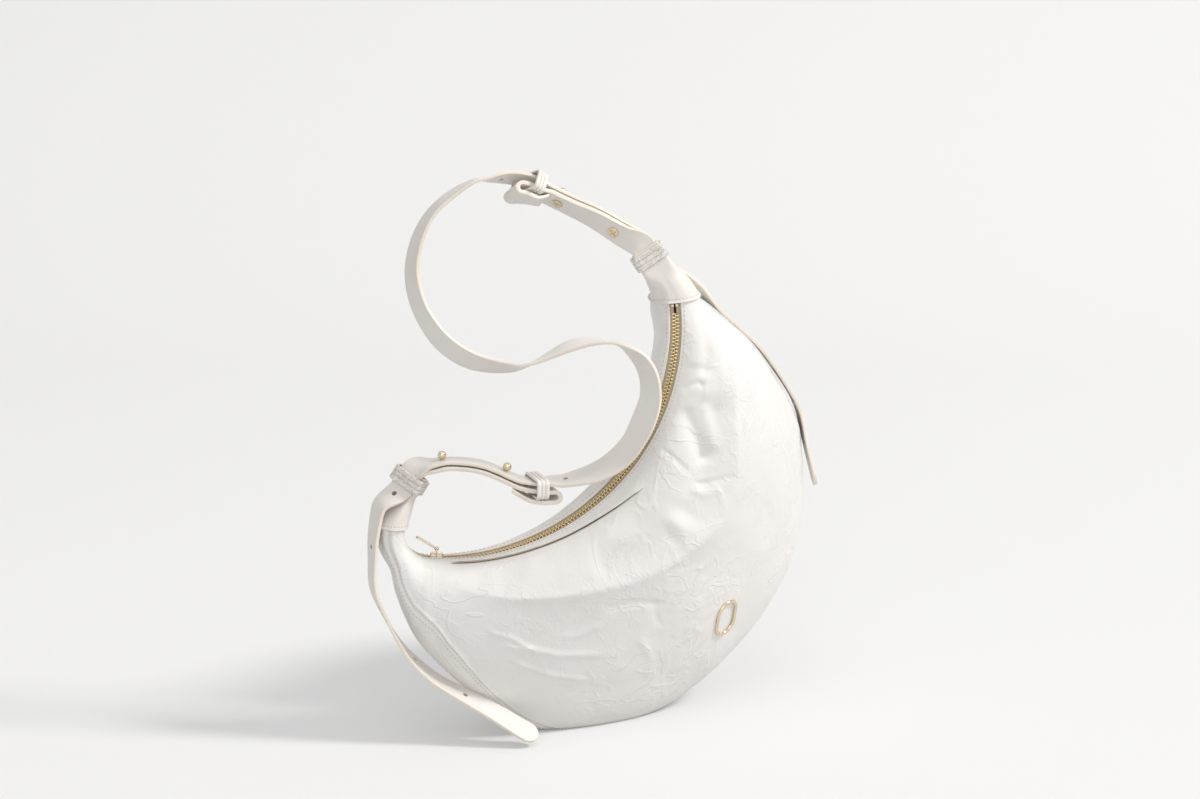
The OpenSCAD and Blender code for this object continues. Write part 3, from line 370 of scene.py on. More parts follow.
# Half of a cross section: bulge and depth as shares, from the mouth down to the lowest seam.
front_profile = np.array([(0, 0), (0.28, 0), (0.55, 0.035), (0.80, 0.12), (0.95, 0.27),
                          (1, 0.46), (0.95, 0.66), (0.80, 0.83), (0.50, 0.955), (0, 1)])
back_profile = np.array([(0, 0), (0.29, 0.005), (0.45, 0.055), (0.71, 0.15), (0.92, 0.30),
                         (1, 0.47), (0.95, 0.66), (0.80, 0.83), (0.50, 0.955), (0, 1)])
tip_profile = np.array([(0, 0), (0.45, 0), (0.86, 0.005), (0.975, 0.06), (1, 0.28),
                        (1, 0.72), (0.975, 0.94), (0.86, 0.995), (0.45, 1), (0, 1)])
last_v = len(front_profile) - 1


def curve(t, v):
    """Points of table t at v, counted in its rows, on a smooth line through all of them."""
    b = np.vstack([t[1] - t[0], (t[2:] - t[:-2]) / 2, t[-1] - t[-2]])
    i = np.minimum(np.floor(v).astype(int), len(t) - 2)
    u = (v - i)[:, None]
    return ((2 * u ** 3 - 3 * u * u + 1) * t[i] + (3 * u * u - 2 * u ** 3) * t[i + 1]
            + (u ** 3 - 2 * u * u + u) * b[i] + (u ** 3 - u * u) * b[i + 1])


# How wide the gusset is, as a share, along the mouth.
front_seam = [(-0.6, 0.35), (-0.43, 0.45), (-0.31, 0.58), (-0.11, 0.9), (0, 1.15), (0.07, 1.33),
              (0.13, 1.27), (0.165, 1.2), (0.25, 1.04), (0.4, 1), (0.8, 1), (0.9, 0.9), (1, 0.6),
              (1.4, 0.35)]
back_seam = [(-0.6, 0.35), (-0.43, 0.45), (-0.11, 0.6), (0.12, 1), (0.8, 1), (1, 0.5), (1.4, 0.3)]
slit_from, slit_to, slit_back, slit_gap = 0.05, 0.55, 0.9, skin / 2
slit_near = tape_width + slit_gap
slit_far = 1.65 * slit_near
slit_limit, tape_limit = 0.62, 0.55


def stations(w, side):
    """v of: tape's inner edge, lip, tape's outer edge, both edges of the slit, seam."""
    table = smooth_row(body_table, w)
    half = table[1] if side < 0 else table[2]
    t = front_profile if side < 0 else back_profile
    u = ((w - slit_from) / (slit_to - slit_from) if w < slit_to
         else (slit_back - w) / (slit_back - slit_to))
    u = min(max(u, 0), 1)
    q = slit_near + (slit_far - slit_near) * u ** 3 if side < 0 else slit_near
    share = min(q / half, slit_limit)

    def upper(x):
        return float(np.interp(x, t[:6, 0], range(6)))

    width = gusset_width / 2 * smooth_row(front_seam if side < 0 else back_seam, w)[0] / half
    return [upper(tape_inner / half), upper(lip_gap / 2 / half),
            upper(min(tape_width / half, tape_limit)), upper(share), upper(share + slit_gap / half),
            last_v - float(np.interp(width, t[last_v:4:-1, 0], range(5)))]


def settle(p):
    """The weight on the floor: the lowest part is pressed down, and nothing passes below it."""
    u = np.clip((6 * base_press - p[..., 2]) / (5 * base_press), 0, 1)
    out = p.copy()
    out[..., 2] = np.maximum(p[..., 2] - base_press * u * u * (3 - 2 * u), 0)
    return out


def section(w, side, v):
    """Points of the cross section at w, at v down its front (side -1) or back (side 1)."""
    f = path_frame(w)
    depth, front, back, m = smooth_row(body_table, w)
    m = min(max(m, 0), 1)
    t = front_profile if side < 0 else back_profile
    s = curve(t, v) * (1 - m) + curve(tip_profile, v) * m
    return (f[0] + f[2] * (bar_height + s[:, 1:] * depth)
            + f[3] * s[:, :1] * (front if side < 0 else back) * side)


def surface(ws, side, columns):
    """Points over ws and over columns, which gives v for a place along the mouth."""
    return np.array([section(w, side, np.asarray(columns(w), float)) for w in ws])


def normals(g):
    """Outward directions of a grid of points."""
    a = np.gradient(g, axis=0)
    b = np.gradient(g, axis=1)
    n = np.cross(b, a)
    return n / np.maximum(np.linalg.norm(n, axis=2, keepdims=True), 1e-9)


# Folds and dents of the soft leather. The hide slouches in low hills and dimples, and fine
# creases stand in patches; the large folds follow their own lines. A swell is given as mm across,
# mm high and its place in the noise.
swells = ((46, 0.9, 0.0), (21, 0.45, 3.3), (10, 0.22, 7.1))
crease_size, crease_wander, crease_share, crease_rise, crease_patch = 17, 30, 0.86, 0.7, 60
fold_fade, steep_reach = 0.16, 2.2
rng = np.random.default_rng(7)
lattice = rng.random((48, 48, 48))


def noise(p, size, offset=0.0):
    """Smooth noise from -1 to 1 over points in mm, one wave about every size mm."""
    q = p / size + offset
    i = np.floor(q).astype(int)
    u = q - i
    u = u * u * (3 - 2 * u)
    total = 0
    for dx in (0, 1):
        for dy in (0, 1):
            for dz in (0, 1):
                c = lattice[(i[..., 0] + dx) % 48, (i[..., 1] + dy) % 48, (i[..., 2] + dz) % 48]
                total = total + c * (u[..., 0] if dx else 1 - u[..., 0]) * (
                    u[..., 1] if dy else 1 - u[..., 1]) * (u[..., 2] if dz else 1 - u[..., 2])
    return 2 * total - 1


def along(p, line):
    """Distance of points (x, z) from a line of places, signed: positive on its left."""
    best = np.full(p.shape[:-1], 1e9)
    sign = np.ones_like(best)
    share = np.zeros_like(best)
    n = len(line) - 1
    for i in range(n):
        a, b = np.array(line[i], float), np.array(line[i + 1], float)
        d = b - a
        u = np.clip(((p - a) @ d) / (d @ d), 0, 1)
        off = p - a - u[..., None] * d
        r = np.linalg.norm(off, axis=-1)
        near = r < best
        best = np.where(near, r, best)
        sign = np.where(near, np.sign(d[0] * off[..., 1] - d[1] * off[..., 0]), sign)
        share = np.where(near, (i + u) / n, share)
    return best, sign, share


def photo(x, y, depth=-55.0):
    """The place (x, z) in mm on the plane y = depth that the photograph shows at a pixel."""
    e = view_rise * RAD
    focal = lens_mm / sensor_mm * photo_wide
    eye = (np.array(target) + np.array(direction(0, view_rise)) * view_away) / MM
    ray = (np.array((0, math.cos(e), -math.sin(e))) * focal
           + np.array((1.0, 0, 0)) * (x - photo_wide / 2)
           - np.array((0, math.sin(e), math.cos(e))) * (y - photo_high / 2))
    p = eye + ray * (depth - eye[1]) / ray[1]
    return p[0], p[2]


def line_of(*pixels):
    return [photo(*q) for q in pixels]


folds = [
    # rows: mm high, mm half width, 1 if steep on its right side, and its line in the photograph
    # the crest that runs down from the horn and turns along the front, steep below it
    (3.4, 9.0, 1.0, line_of((716, 318), (728, 350), (734, 385), (736, 425), (737, 465), (734, 500),
                            (722, 526), (703, 543), (684, 556), (660, 568), (632, 579), (600, 585),
                            (560, 590), (520, 592), (480, 588), (450, 580))),
    # the hollow between the crest and the mouth
    (-5.0, 15.0, 0.0, line_of((712, 392), (712, 430), (708, 470), (698, 505), (680, 528))),
    (-2.2, 12.0, 0.0, line_of((680, 528), (640, 548), (590, 565))),
    # the dent under the mouth, like a dart
    (-3.4, 6.5, 0.0, line_of((681, 405), (691, 428), (703, 452), (708, 468))),
    (2.0, 5.0, 0.0, line_of((704, 404), (712, 432), (716, 455))),
    # the pad below the cap and the valley beside it
    (2.4, 10.0, 0.0, line_of((694, 318), (696, 345), (694, 372))),
    (-2.6, 5.0, 0.0, line_of((694, 300), (703, 330), (708, 360), (705, 382))),
    (-1.4, 2.4, 0.0, line_of((681, 394), (690, 388), (699, 385), (705, 390))),
    # smaller folds
    (-1.1, 2.0, 0.0, line_of((694, 483), (706, 487), (720, 485), (735, 481))),
    (1.0, 3.0, 0.0, line_of((690, 490), (708, 498), (724, 494))),
    (-0.9, 2.2, 0.0, line_of((660, 448), (678, 462), (690, 474))),
    (-0.8, 2.4, 0.0, line_of((655, 600), (656, 618), (662, 634))),
    (-0.8, 3.0, 0.0, line_of((600, 606), (632, 602), (668, 606))),
    (1.2, 2.2, 0.0, line_of((500, 640), (530, 643), (560, 652), (616, 656))),
    (1.0, 1.8, 0.0, line_of((488, 625), (512, 631), (540, 648))),
    (0.9, 1.8, 0.0, line_of((508, 652), (530, 664), (556, 674), (596, 684))),
    (0.9, 1.8, 0.0, line_of((560, 632), (580, 632), (604, 622))),
    (-0.8, 3.5, 0.0, line_of((770, 520), (776, 545), (768, 575))),
    (0.8, 3.0, 0.0, line_of((640, 640), (652, 668), (648, 694))),
]


def relief(g, side):
    """How far the leather stands out of the plain form, in mm."""
    out = sum(high * noise(g, across, at) for across, high, at in swells)
    wander = 3 * noise(g, crease_wander)[..., None]
    creases = 1 - np.abs(noise(g + wander, crease_size, 5.5))
    out += (crease_rise * np.clip(creases - crease_share, 0, 1) / (1 - crease_share)
            * np.clip(noise(g, crease_patch, 1.7) + 0.2, 0, 1))
    if side < 0:
        flat = np.stack([g[..., 0], g[..., 2]], axis=-1)
        for amount, width, steep, line in folds:
            r, sign, share = along(flat, line)
            ends = ease(np.minimum(share, 1 - share) / fold_fade)
            if steep:
                bump = np.exp(-(r / width)) * np.where(
                    sign > 0, 1, np.exp(-(r / (steep_reach * width)) ** 2))
            else:
                bump = np.exp(-(r / width) ** 2)
            out += amount * ends * bump
    return out


def ease(u):
    """A smooth step from 0 to 1 while u goes from 0 to 1."""
    u = np.clip(u, 0, 1)
    return u * u * (3 - 2 * u)


def piece(name, points, faces, body, mats, index=None, sharp=40):
    """A mesh object in metres from points in mm, riding on body, with edges over sharp degrees."""
    mesh = bpy.data.meshes.new(name)
    mesh.from_pydata([tuple(float(c) * MM for c in p) for p in points], [],
                     [tuple(int(k) for k in f) for f in faces])
    for m in mats:
        mesh.materials.append(m)
    if index is not None:
        mesh.polygons.foreach_set("material_index", np.asarray(index, np.int32))
    mesh.update()
    mesh.shade_smooth()
    if sharp:
        mesh.set_sharp_from_angle(angle=math.radians(sharp))
    thing = bpy.data.objects.new(name, mesh)
    bpy.context.scene.collection.objects.link(thing)
    if body:
        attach(thing, body)
    return thing


def shell(g, n, thick, hole=None, closed=False, round_out=0.3):
    """Points, faces and material index (0 skin, 1 inside, 2 edge) of a skin under grid g.

    hole tells which cells are left out; the edges are a little rounded."""
    ni, nk = g.shape[:2]
    inner = g - n * thick
    keep = np.ones((ni - 1, nk if closed else nk - 1), bool)
    if hole is not None:
        keep &= ~hole
    points = list(g.reshape(-1, 3)) + list(inner.reshape(-1, 3))
    faces, index = [], []
    m = ni * nk
    middle = {}

    def mid(i, k, di, dk):
        key = (i, k, di, dk)
        if key not in middle:
            step = g[i, k] - g[i - di, (k - dk) % nk]
            step = step / max(np.linalg.norm(step), 1e-9)
            middle[key] = len(points)
            points.append((g[i, k] + inner[i, k]) / 2 + step * np.mean(thick) * round_out)
        return middle[key]

    def kept(i, k):
        if closed:
            k %= nk
        return 0 <= i < ni - 1 and 0 <= k < keep.shape[1] and keep[i, k]

    for i in range(ni - 1):
        for k in range(keep.shape[1]):
            if not keep[i, k]:
                continue
            l = (k + 1) % nk
            a, b, c, d = i * nk + k, i * nk + l, (i + 1) * nk + l, (i + 1) * nk + k
            faces += [(a, b, c, d), (a + m, d + m, c + m, b + m)]
            index += [0, 1]
            for inside, p, q, di, dk in ((kept(i - 1, k), (i, k), (i, l), -1, 0),
                                         (kept(i, k + 1), (i, l), (i + 1, l), 0, 1),
                                         (kept(i + 1, k), (i + 1, l), (i + 1, k), 1, 0),
                                         (kept(i, k - 1), (i + 1, k), (i, k), 0, -1)):
                if not inside:
                    u, v = p[0] * nk + p[1], q[0] * nk + q[1]
                    x, y = mid(*p, di, dk), mid(*q, di, dk)
                    faces += [(v, u, x, y), (y, x, u + m, v + m)]
                    index += [2, 2]
    used = sorted({k for f in faces for k in f})
    new = {k: i for i, k in enumerate(used)}
    return [points[k] for k in used], [[new[k] for k in f] for f in faces], index


def spread(a, b, n):
    return list(np.linspace(a, b, n + 1))


def unit(v):
    return v / max(np.linalg.norm(v), 1e-12)


def resample(line, step):
    """Evenly spaced points of a polyline, with the share of each along its rows."""
    line = np.asarray(line, float)
    s = np.concatenate([[0], np.cumsum(np.linalg.norm(np.diff(line[:, :3], axis=0), axis=1))])
    n = max(int(round(s[-1] / step)), 1)
    at = np.linspace(0, s[-1], n + 1)
    return np.array([[np.interp(a, s, line[:, c]) for c in range(line.shape[1])] for a in at])


# Bonded polyester sewing thread, a shade darker than the leather: fine matt dashes.
thread, tree, shader = material("thread")
shader.inputs["Base Color"].default_value = srgb("#c9bfb2")
shader.inputs["Roughness"].default_value = 0.7


def stitches(name, line, body, pitch=3.3, length=2.4, r=0.26):
    """A row of thread stitches on a line of (point, outward direction) rows, sunk at both ends."""
    sink, sag = 0.1, 1.5
    path_of = resample(line, pitch)
    points, faces = [], []
    for a, b in zip(path_of[:-1], path_of[1:]):
        along_it = unit(b[:3] - a[:3])
        up = unit((a[3:6] + b[3:6]) / 2)
        side = np.cross(along_it, up)
        mid = (a[:3] + b[:3]) / 2
        start = len(points)
        for u in (-1, -0.72, 0, 0.72, 1):
            rise = r * (1 - sag * abs(u) ** 3) - sink
            fat = r * (1 if abs(u) < 0.9 else 0.35)
            c = mid + along_it * (u * length / 2) + up * rise
            for q in range(6):
                t = q * math.pi / 3
                points.append(c + fat * (math.cos(t) * side + math.sin(t) * up))
        for j in range(4):
            for q in range(6):
                x, y = start + 6 * j + q, start + 6 * j + (q + 1) % 6
                faces.append((x, y, y + 6, x + 6))
        faces.append([start + 24 + q for q in range(6)])
        faces.append([start + 5 - q for q in range(6)])
    return piece(name, points, faces, body, [thread], sharp=0)


ws = np.array(spread(-0.56, 0, 40) + spread(0, 1, 280)[1:] + spread(1, 1.34, 20)[1:])
lip_cells, band_cells, face_cells, back_cells, gusset_cells = 8, 5, 92, 84, 16


def front_columns(w):
    s = stations(w, -1)
    return (spread(s[1], s[2], lip_cells)[:-1] + spread(s[2], s[3], band_cells)
            + spread(s[4], s[5], face_cells))


def back_columns(w):
    s = stations(w, 1)
    return (spread(s[1], s[2], lip_cells)[:-1] + spread(s[2], s[5], back_cells))[::-1]


def half_gusset(w, side):
    return spread(stations(w, side)[5], last_v, gusset_cells)


def near(g, k):
    """Distance in mm of each point from column k of its own row."""
    return np.linalg.norm(g - g[:, [k]], axis=2)


floor_calm, calm_from, calm_over = 0.2, 4, 34
lip_calm, lip_reach, seam_reach, gusset_calm = 0.12, 24, 14, 0.8
seam_in, seam_near, roll_up, roll_at = 1.1, 2.0, 0.5, 4.4
slit_rise, slit_sink, slit_reach, slit_more, slit_over = 1.5, 0.5, 5.0, 0.004, 0.03


def soften(g, side, calm):
    """Rests the form on the floor and adds the relief, less where calm says."""
    base = settle(g)
    up = floor_calm + (1 - floor_calm) * ease((base[..., 2] - calm_from) / calm_over)
    out = base + normals(base) * (relief(base, side) * calm * up)[..., None]
    out[..., 2] = np.maximum(out[..., 2], 0)
    return out


def lip_and_seam(g, lip, seam):
    """How lively a panel is: nearly calm along its lip, calm at its seam and on the horns."""
    at_lip = lip_calm + (1 - lip_calm) * ease(near(g, lip) / lip_reach)
    return horn_ease * at_lip * ease(near(g, seam) / seam_reach)


def draw_in(g, k):
    """The seam along column k: pulled in by its thread, with a low roll beside it."""
    r = near(g, k)
    return g - normals(g) * (seam_in * np.exp(-(r / seam_near) ** 2)
                             - roll_up * np.exp(-((r - roll_at) / seam_near) ** 2))[..., None]


def panel(name, g, up, node, hole=None):
    """A cut of crumpled calf under grid g, standing for the CAD node."""
    points, faces, index = shell(g, up, skin, hole)
    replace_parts(piece(name, points, faces, "bag", [crumpled, flesh_side_and_shade, edge_paint], index), node)


left_end, left_over, right_end, right_over = 0.44, 0.3, 1.01, 0.16
horn_ease = ease(np.minimum((ws + left_end) / left_over, (right_end - ws) / right_over))[:, None]
raw = surface(ws, -1, front_columns)
front = draw_in(soften(raw, -1, lip_and_seam(settle(raw), 0, -1)), -1)
slit_k = lip_cells + band_cells
in_slit = (ease((ws - slit_from + slit_more) / slit_over)
           * ease((slit_to + slit_more - ws) / slit_over))
below = np.arange(front.shape[1]) > slit_k
step_up = np.where(below, -slit_sink * np.exp(-(near(front, slit_k + 1) / slit_reach) ** 2),
                   slit_rise * np.exp(-(near(front, slit_k) / slit_reach) ** 2)
                   * ease(near(front, 0) / slit_reach))
front += normals(front) * (step_up * in_slit[:, None])[..., None]
hole = np.zeros((len(ws) - 1, front.shape[1] - 1), bool)
hole[:, slit_k] = ((ws[:-1] + ws[1:]) / 2 > slit_from) & ((ws[:-1] + ws[1:]) / 2 < slit_to)
front_normal = normals(front)
front[..., 2] = np.maximum(front[..., 2], 0)
panel("leather_front", front, front_normal, "front_panel", hole)

raw = surface(ws, 1, back_columns)
back = draw_in(soften(raw, 1, lip_and_seam(settle(raw), -1, 0)), 0)
back_normal = normals(back)
panel("leather_back", back, back_normal, "back_panel")

raw = np.concatenate([surface(ws, -1, lambda w: half_gusset(w, -1)),
                      surface(ws, 1, lambda w: half_gusset(w, 1))[:, ::-1][:, 1:]], axis=1)
rest = settle(raw)
calm = horn_ease * ease(np.minimum(near(rest, 0), near(rest, -1)) / seam_reach) * gusset_calm
gusset = draw_in(draw_in(soften(raw, 0, calm), 0), -1)
gusset[..., 2] = np.maximum(gusset[..., 2], 0)
gusset_normal = normals(gusset)
panel("leather_gusset", gusset, gusset_normal, "bottom_gusset")


def row_at(g, n, k, distance, rows, lift=0.0):
    """A line on grid g, distance mm from column k (0 or -1), as (point, direction) rows."""
    out = []
    for i in rows:
        row, up = (g[i], n[i]) if k == 0 else (g[i][::-1], n[i][::-1])
        s = np.concatenate([[0], np.cumsum(np.linalg.norm(np.diff(row, axis=0), axis=1))])
        p = [np.interp(distance, s, row[:, c]) for c in range(3)]
        q = [np.interp(distance, s, up[:, c]) for c in range(3)]
        out.append(list(np.array(p) + np.array(q) * lift) + q)
    return np.array(out)


seam_rows = [i for i in range(len(ws)) if -0.3 < ws[i] < 1.1]
seam_stitch_at = 3.4
for name, g, n, k in (("front", front, front_normal, -1),
                      ("gusset_front", gusset, gusset_normal, 0),
                      ("gusset_back", gusset, gusset_normal, -1), ("back", back, back_normal, 0)):
    stitches("stitches_" + name, row_at(g, n, k, seam_stitch_at, seam_rows), "bag")


# ---------------------------------------------------------------- lining
# A beige cotton bag inside the whole body, cut as the panels are and sewn to both tapes along the
# mouth. It hangs just inside the leather, a little loose, and gives way where the hide is dented.
def woven(name, base, shade, pitch, rough=0.85, sheen=0.25):
    """Plain weave: threads pitch metres apart, in two directions."""
    wave_repeat = 0.318  # a band texture of scale 1 repeats this often, in metres
    made, tree, shader = material(name)
    place = add(tree, "TexCoord").outputs["Object"]
    rows = [add(tree, "TexWave", {"Vector": place, "Scale": wave_repeat / pitch, "Distortion": 0.4,
                                  "Detail": 1}, wave_type="BANDS", bands_direction=way)
            for way in ("X", "Z")]
    weave = add(tree, "Math", {0: rows[0].outputs["Fac"], 1: rows[1].outputs["Fac"]},
                operation="MULTIPLY")
    colour = add(tree, "Mix", {0: weave.outputs["Value"], 6: srgb(shade), 7: srgb(base)},
                 data_type="RGBA")
    normal = add(tree, "Bump", {"Height": weave.outputs["Value"], "Strength": 0.5,
                                "Distance": 0.0002})
    tree.links.new(colour.outputs[2], shader.inputs["Base Color"])
    tree.links.new(normal.outputs["Normal"], shader.inputs["Normal"])
    shader.inputs["Roughness"].default_value = rough
    shader.inputs["Sheen Weight"].default_value = sheen
    return made


# Cotton drill, piece dyed: a matt warm beige with a soft bloom. Its threads lie 0.8 mm apart,
# twice the real distance, so that the weave shows.
cotton = woven("cotton_drill", "#d3cabb", "#b9ae9d", 0.0008)
cloth = 0.6
pocket_cloth = 2 * cloth
lining_depth = skin + 4 * gap + pocket_cloth
lining_slack, lining_wave, lining_wave_size, dent_play = 0.35, 0.3, 26, 0.4


def inside(g, n, depth, floor=0.0):
    """Grid g moved in along n, kept over the floor."""
    out = g - n * depth
    out[..., 2] = np.maximum(out[..., 2], floor)
    return out


lining_ws = np.array(spread(-0.31, 0, 12) + spread(0, 1, 90)[1:] + spread(1, 1.12, 4)[1:])


def lining_half(w, side):
    s = stations(w, side)
    return spread((s[1] + s[2]) / 2, last_v, 60)


raw = np.concatenate([surface(lining_ws, -1, lambda w: lining_half(w, -1)),
                      surface(lining_ws, 1, lambda w: lining_half(w, 1))[:, ::-1][:, 1:]], axis=1)
base = settle(raw)
dent = np.maximum(-relief(base, -1), -relief(base, 0))
dent = ease(dent) * (dent + dent_play)
hang = lining_depth + lining_slack + lining_wave * (1 + noise(base, lining_wave_size, 9.1)) + dent
cloth_grid = inside(base, normals(base), hang[..., None], skin + 2 * gap)
points, faces, index = shell(cloth_grid, normals(cloth_grid), cloth)
lining_piece = piece("cotton_lining", points, faces, "bag", [cotton], sharp=0)
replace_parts(lining_piece, "lining")


# ---------------------------------------------------------------- front pocket bag
# Two layers of the same cotton behind the curved slit, sewn along the slit's lower edge and
# hanging flat between lining and leather.
pocket_ws = np.array(spread(slit_from, slit_to, 60))
pocket_share, pocket_low, pocket_play = 1 / 3, 0.3, 0.7


def pocket_columns(w):
    s = stations(w, -1)
    return spread(s[3], s[4] + pocket_share * (s[5] - s[4]), 26)


raw = settle(surface(pocket_ws, -1, pocket_columns))
dent = np.maximum(-relief(raw, -1), 0)[..., None]
depth = skin + 2 * gap + dent + pocket_play * (dent < pocket_low)
points, faces, index = shell(inside(raw, normals(raw), depth), normals(raw), pocket_cloth)
pocket_piece = piece("cotton_pocket", points, faces, "bag", [cotton], sharp=0)
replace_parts(pocket_piece, "front_pocket_bag")


# ---------------------------------------------------------------- zip tapes
# Two woven polyester tapes with a cord along the inner edge, which the teeth clamp. Each is
# sewn under its lip of leather with one stitch row near the leather's edge.
# Heat set polyester, ribbed by its weave: flat beige with little sheen. Its ribs lie 0.9 mm
# apart, about twice the real distance, so that they show.
tape_weave = woven("polyester_tape", "#cfc4ad", "#a99d85", 0.0009, 0.6, 0.1)
cord_at, lip_stitch_at = 0.9, 2.2
lip_skip_left, lip_skip_right = 34, 22
tape_ws = np.array(spread(-0.11, 0, 6) + spread(0, 1, 200)[1:])


def tape_columns(w, side):
    s = stations(w, side)
    return spread(s[0] * cord_at / tape_inner, s[2], 16)[::-side]


for name, side in (("front", -1), ("back", 1)):
    raw = settle(surface(tape_ws, side, lambda w: tape_columns(w, side)))
    up = normals(raw)
    points, faces, index = shell(inside(raw, up, skin + gap), up, tape_thickness)
    tape_piece = piece("tape_" + name, points, faces, "bag", [tape_weave],
                       sharp=0)
    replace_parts(tape_piece, "zip_tape_" + name)
for name, g, n, k in (("lip_front", front, front_normal, 0), ("lip_back", back, back_normal, -1)):
    lip_rows = row_at(g, n, k, lip_stitch_at, range(lip_skip_left, len(ws) - lip_skip_right))
    stitches("stitches_" + name, lip_rows, "bag", length=2.2)


# ---------------------------------------------------------------- caps
# One piece of smooth calf wrapped round each horn over the body's leather. Its lower edge is
# turned in and sewn down with one row of thread, and its upper end runs into the keeper.
# Smooth calf with a resin finish: even warm white with a low satin gloss.
smooth_calf = leather("smooth_calf", "#e8e4df", "#e2dcd5", 0.42, [], 0.35)
cap_offset, cap_cells, cap_skin = gap + skin, 54, skin + 0.1
cap_fold, cap_wave, cap_wave_size, cap_stitch_at = 0.5, 0.35, 15, 3.0
fold_rows, wave_rows, tip_rows = 2.0, 12, 30


def cap_loop(w):
    v = np.array(spread(0, last_v, cap_cells))
    a, b = section(w, -1, v), section(w, 1, v)
    return np.concatenate([a, b[::-1][1:-1]])


def closed_normals(g):
    """Outward directions of a grid whose columns close into a ring."""
    a = np.gradient(g, axis=0)
    b = np.roll(g, -1, axis=1) - np.roll(g, 1, axis=1)
    n = np.cross(b, a)
    return n / np.maximum(np.linalg.norm(n, axis=2, keepdims=True), 1e-9)


for name, places in (("left", spread(-1, -0.43, 60)), ("right", spread(1, 2, 90))):
    base = settle(np.array([cap_loop(w) for w in places]))
    up = closed_normals(base)
    away = np.abs(np.arange(len(places)) - (len(places) - 1 if name == "left" else 0))
    fold = cap_fold * np.exp(-(away / fold_rows) ** 2)[:, None, None]
    wave = (cap_wave * noise(base, cap_wave_size, 2.2)[..., None]
            * ease(away / wave_rows)[:, None, None]
            * ease((len(places) - away) / tip_rows)[:, None, None])
    outer_face = base + up * (cap_offset + fold + wave)
    points, faces, index = shell(outer_face, up, cap_skin, closed=True)
    cap_piece = piece("cap_" + name + "_leather", points, faces, "bag",
                      [smooth_calf, flesh_side_and_shade, edge_paint], index)
    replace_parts(cap_piece, "cap_" + name)
    turned = slice(None) if name == "right" else slice(None, None, -1)
    hem = row_at(outer_face[turned].transpose(1, 0, 2), up[turned].transpose(1, 0, 2), 0,
                 cap_stitch_at, list(range(outer_face.shape[1])) + [0])
    stitches("stitches_cap_" + name, hem, "bag", pitch=3.0, length=2.2)


# ---------------------------------------------------------------- shoulder strap
# One long belt: round the shoulder, through both keepers, and out as two tails. Two layers of
# smooth calf are glued and pressed to 20 mm, the edges rounded and painted cream, and holes
# punched for the ball studs.
strap_thick, keeper_play = 2.8, 2 * gap
tip_depth_play = cap_offset + 2 * gap
strap_level = bar_height + tip_depth + tip_depth_play + strap_thick / 2
tail_level = strap_level + 0.75 * strap_thick
stub_length, turn_play = keeper_width + 2, 4.0
tail_gap = 0.75 * turn_play
# The raw core of the belt inside a punched hole: matt tan fibre.
cut_edge = leather("raw_edge", "#cdbfa8", "#bfae95", 0.7, [], 0.6, 0)
strap_mats = [smooth_calf, edge_paint, cut_edge]


def tip_line(w, x, level):
    """The point x mm ahead of a horn's tip at level over it, with the direction across."""
    f = path_frame(w)
    return f[0] + f[1] * x + f[2] * level, f[3]


class Route:
    """A smooth line through places, each with the direction across the strap."""
    def __init__(self, points, samples=24):
        self.p = np.array([q[0] for q in points], float)
        self.w = np.array([q[1] for q in points], float)
        self.u = np.linspace(1, len(points) - 2, (len(points) - 3) * samples + 1)
        fine = self.spline(self.p, self.u)
        self.s = np.concatenate([[0], np.cumsum(np.linalg.norm(np.diff(fine, axis=0), axis=1))])
        self.total = self.s[-1]

    @staticmethod
    def spline(p, u):
        u = np.atleast_1d(u)
        n = len(p) - 1
        i = np.clip(np.floor(u).astype(int), 0, n - 1)
        v = (u - i)[:, None]
        a, b, c, d = p[np.maximum(i - 1, 0)], p[i], p[i + 1], p[np.minimum(i + 2, n)]
        return 0.5 * (2 * b + (c - a) * v + (2 * a - 5 * b + 4 * c - d) * v * v
                      + (3 * b - a - 3 * c + d) * v ** 3)

    def at(self, x):
        """Place, forward, across and outward at x mm along."""
        x = min(max(x, 0), self.total)
        u = np.interp(x, self.s, self.u)
        p = self.spline(self.p, u)[0]
        near_by = 0.4
        ahead = self.spline(self.p, np.interp(min(x + near_by, self.total), self.s, self.u))[0]
        behind = self.spline(self.p, np.interp(max(x - near_by, 0), self.s, self.u))[0]
        t = unit(ahead - behind)
        w = self.spline(self.w, u)[0]
        w = unit(w - t * (w @ t))
        return p, t, w, np.cross(w, t)


def from_shares(rows):
    """Places and directions from rows of shares of the zip's radius."""
    return [(centre + zip_radius * np.array(q[:3]), np.array(q[3:])) for q in rows]


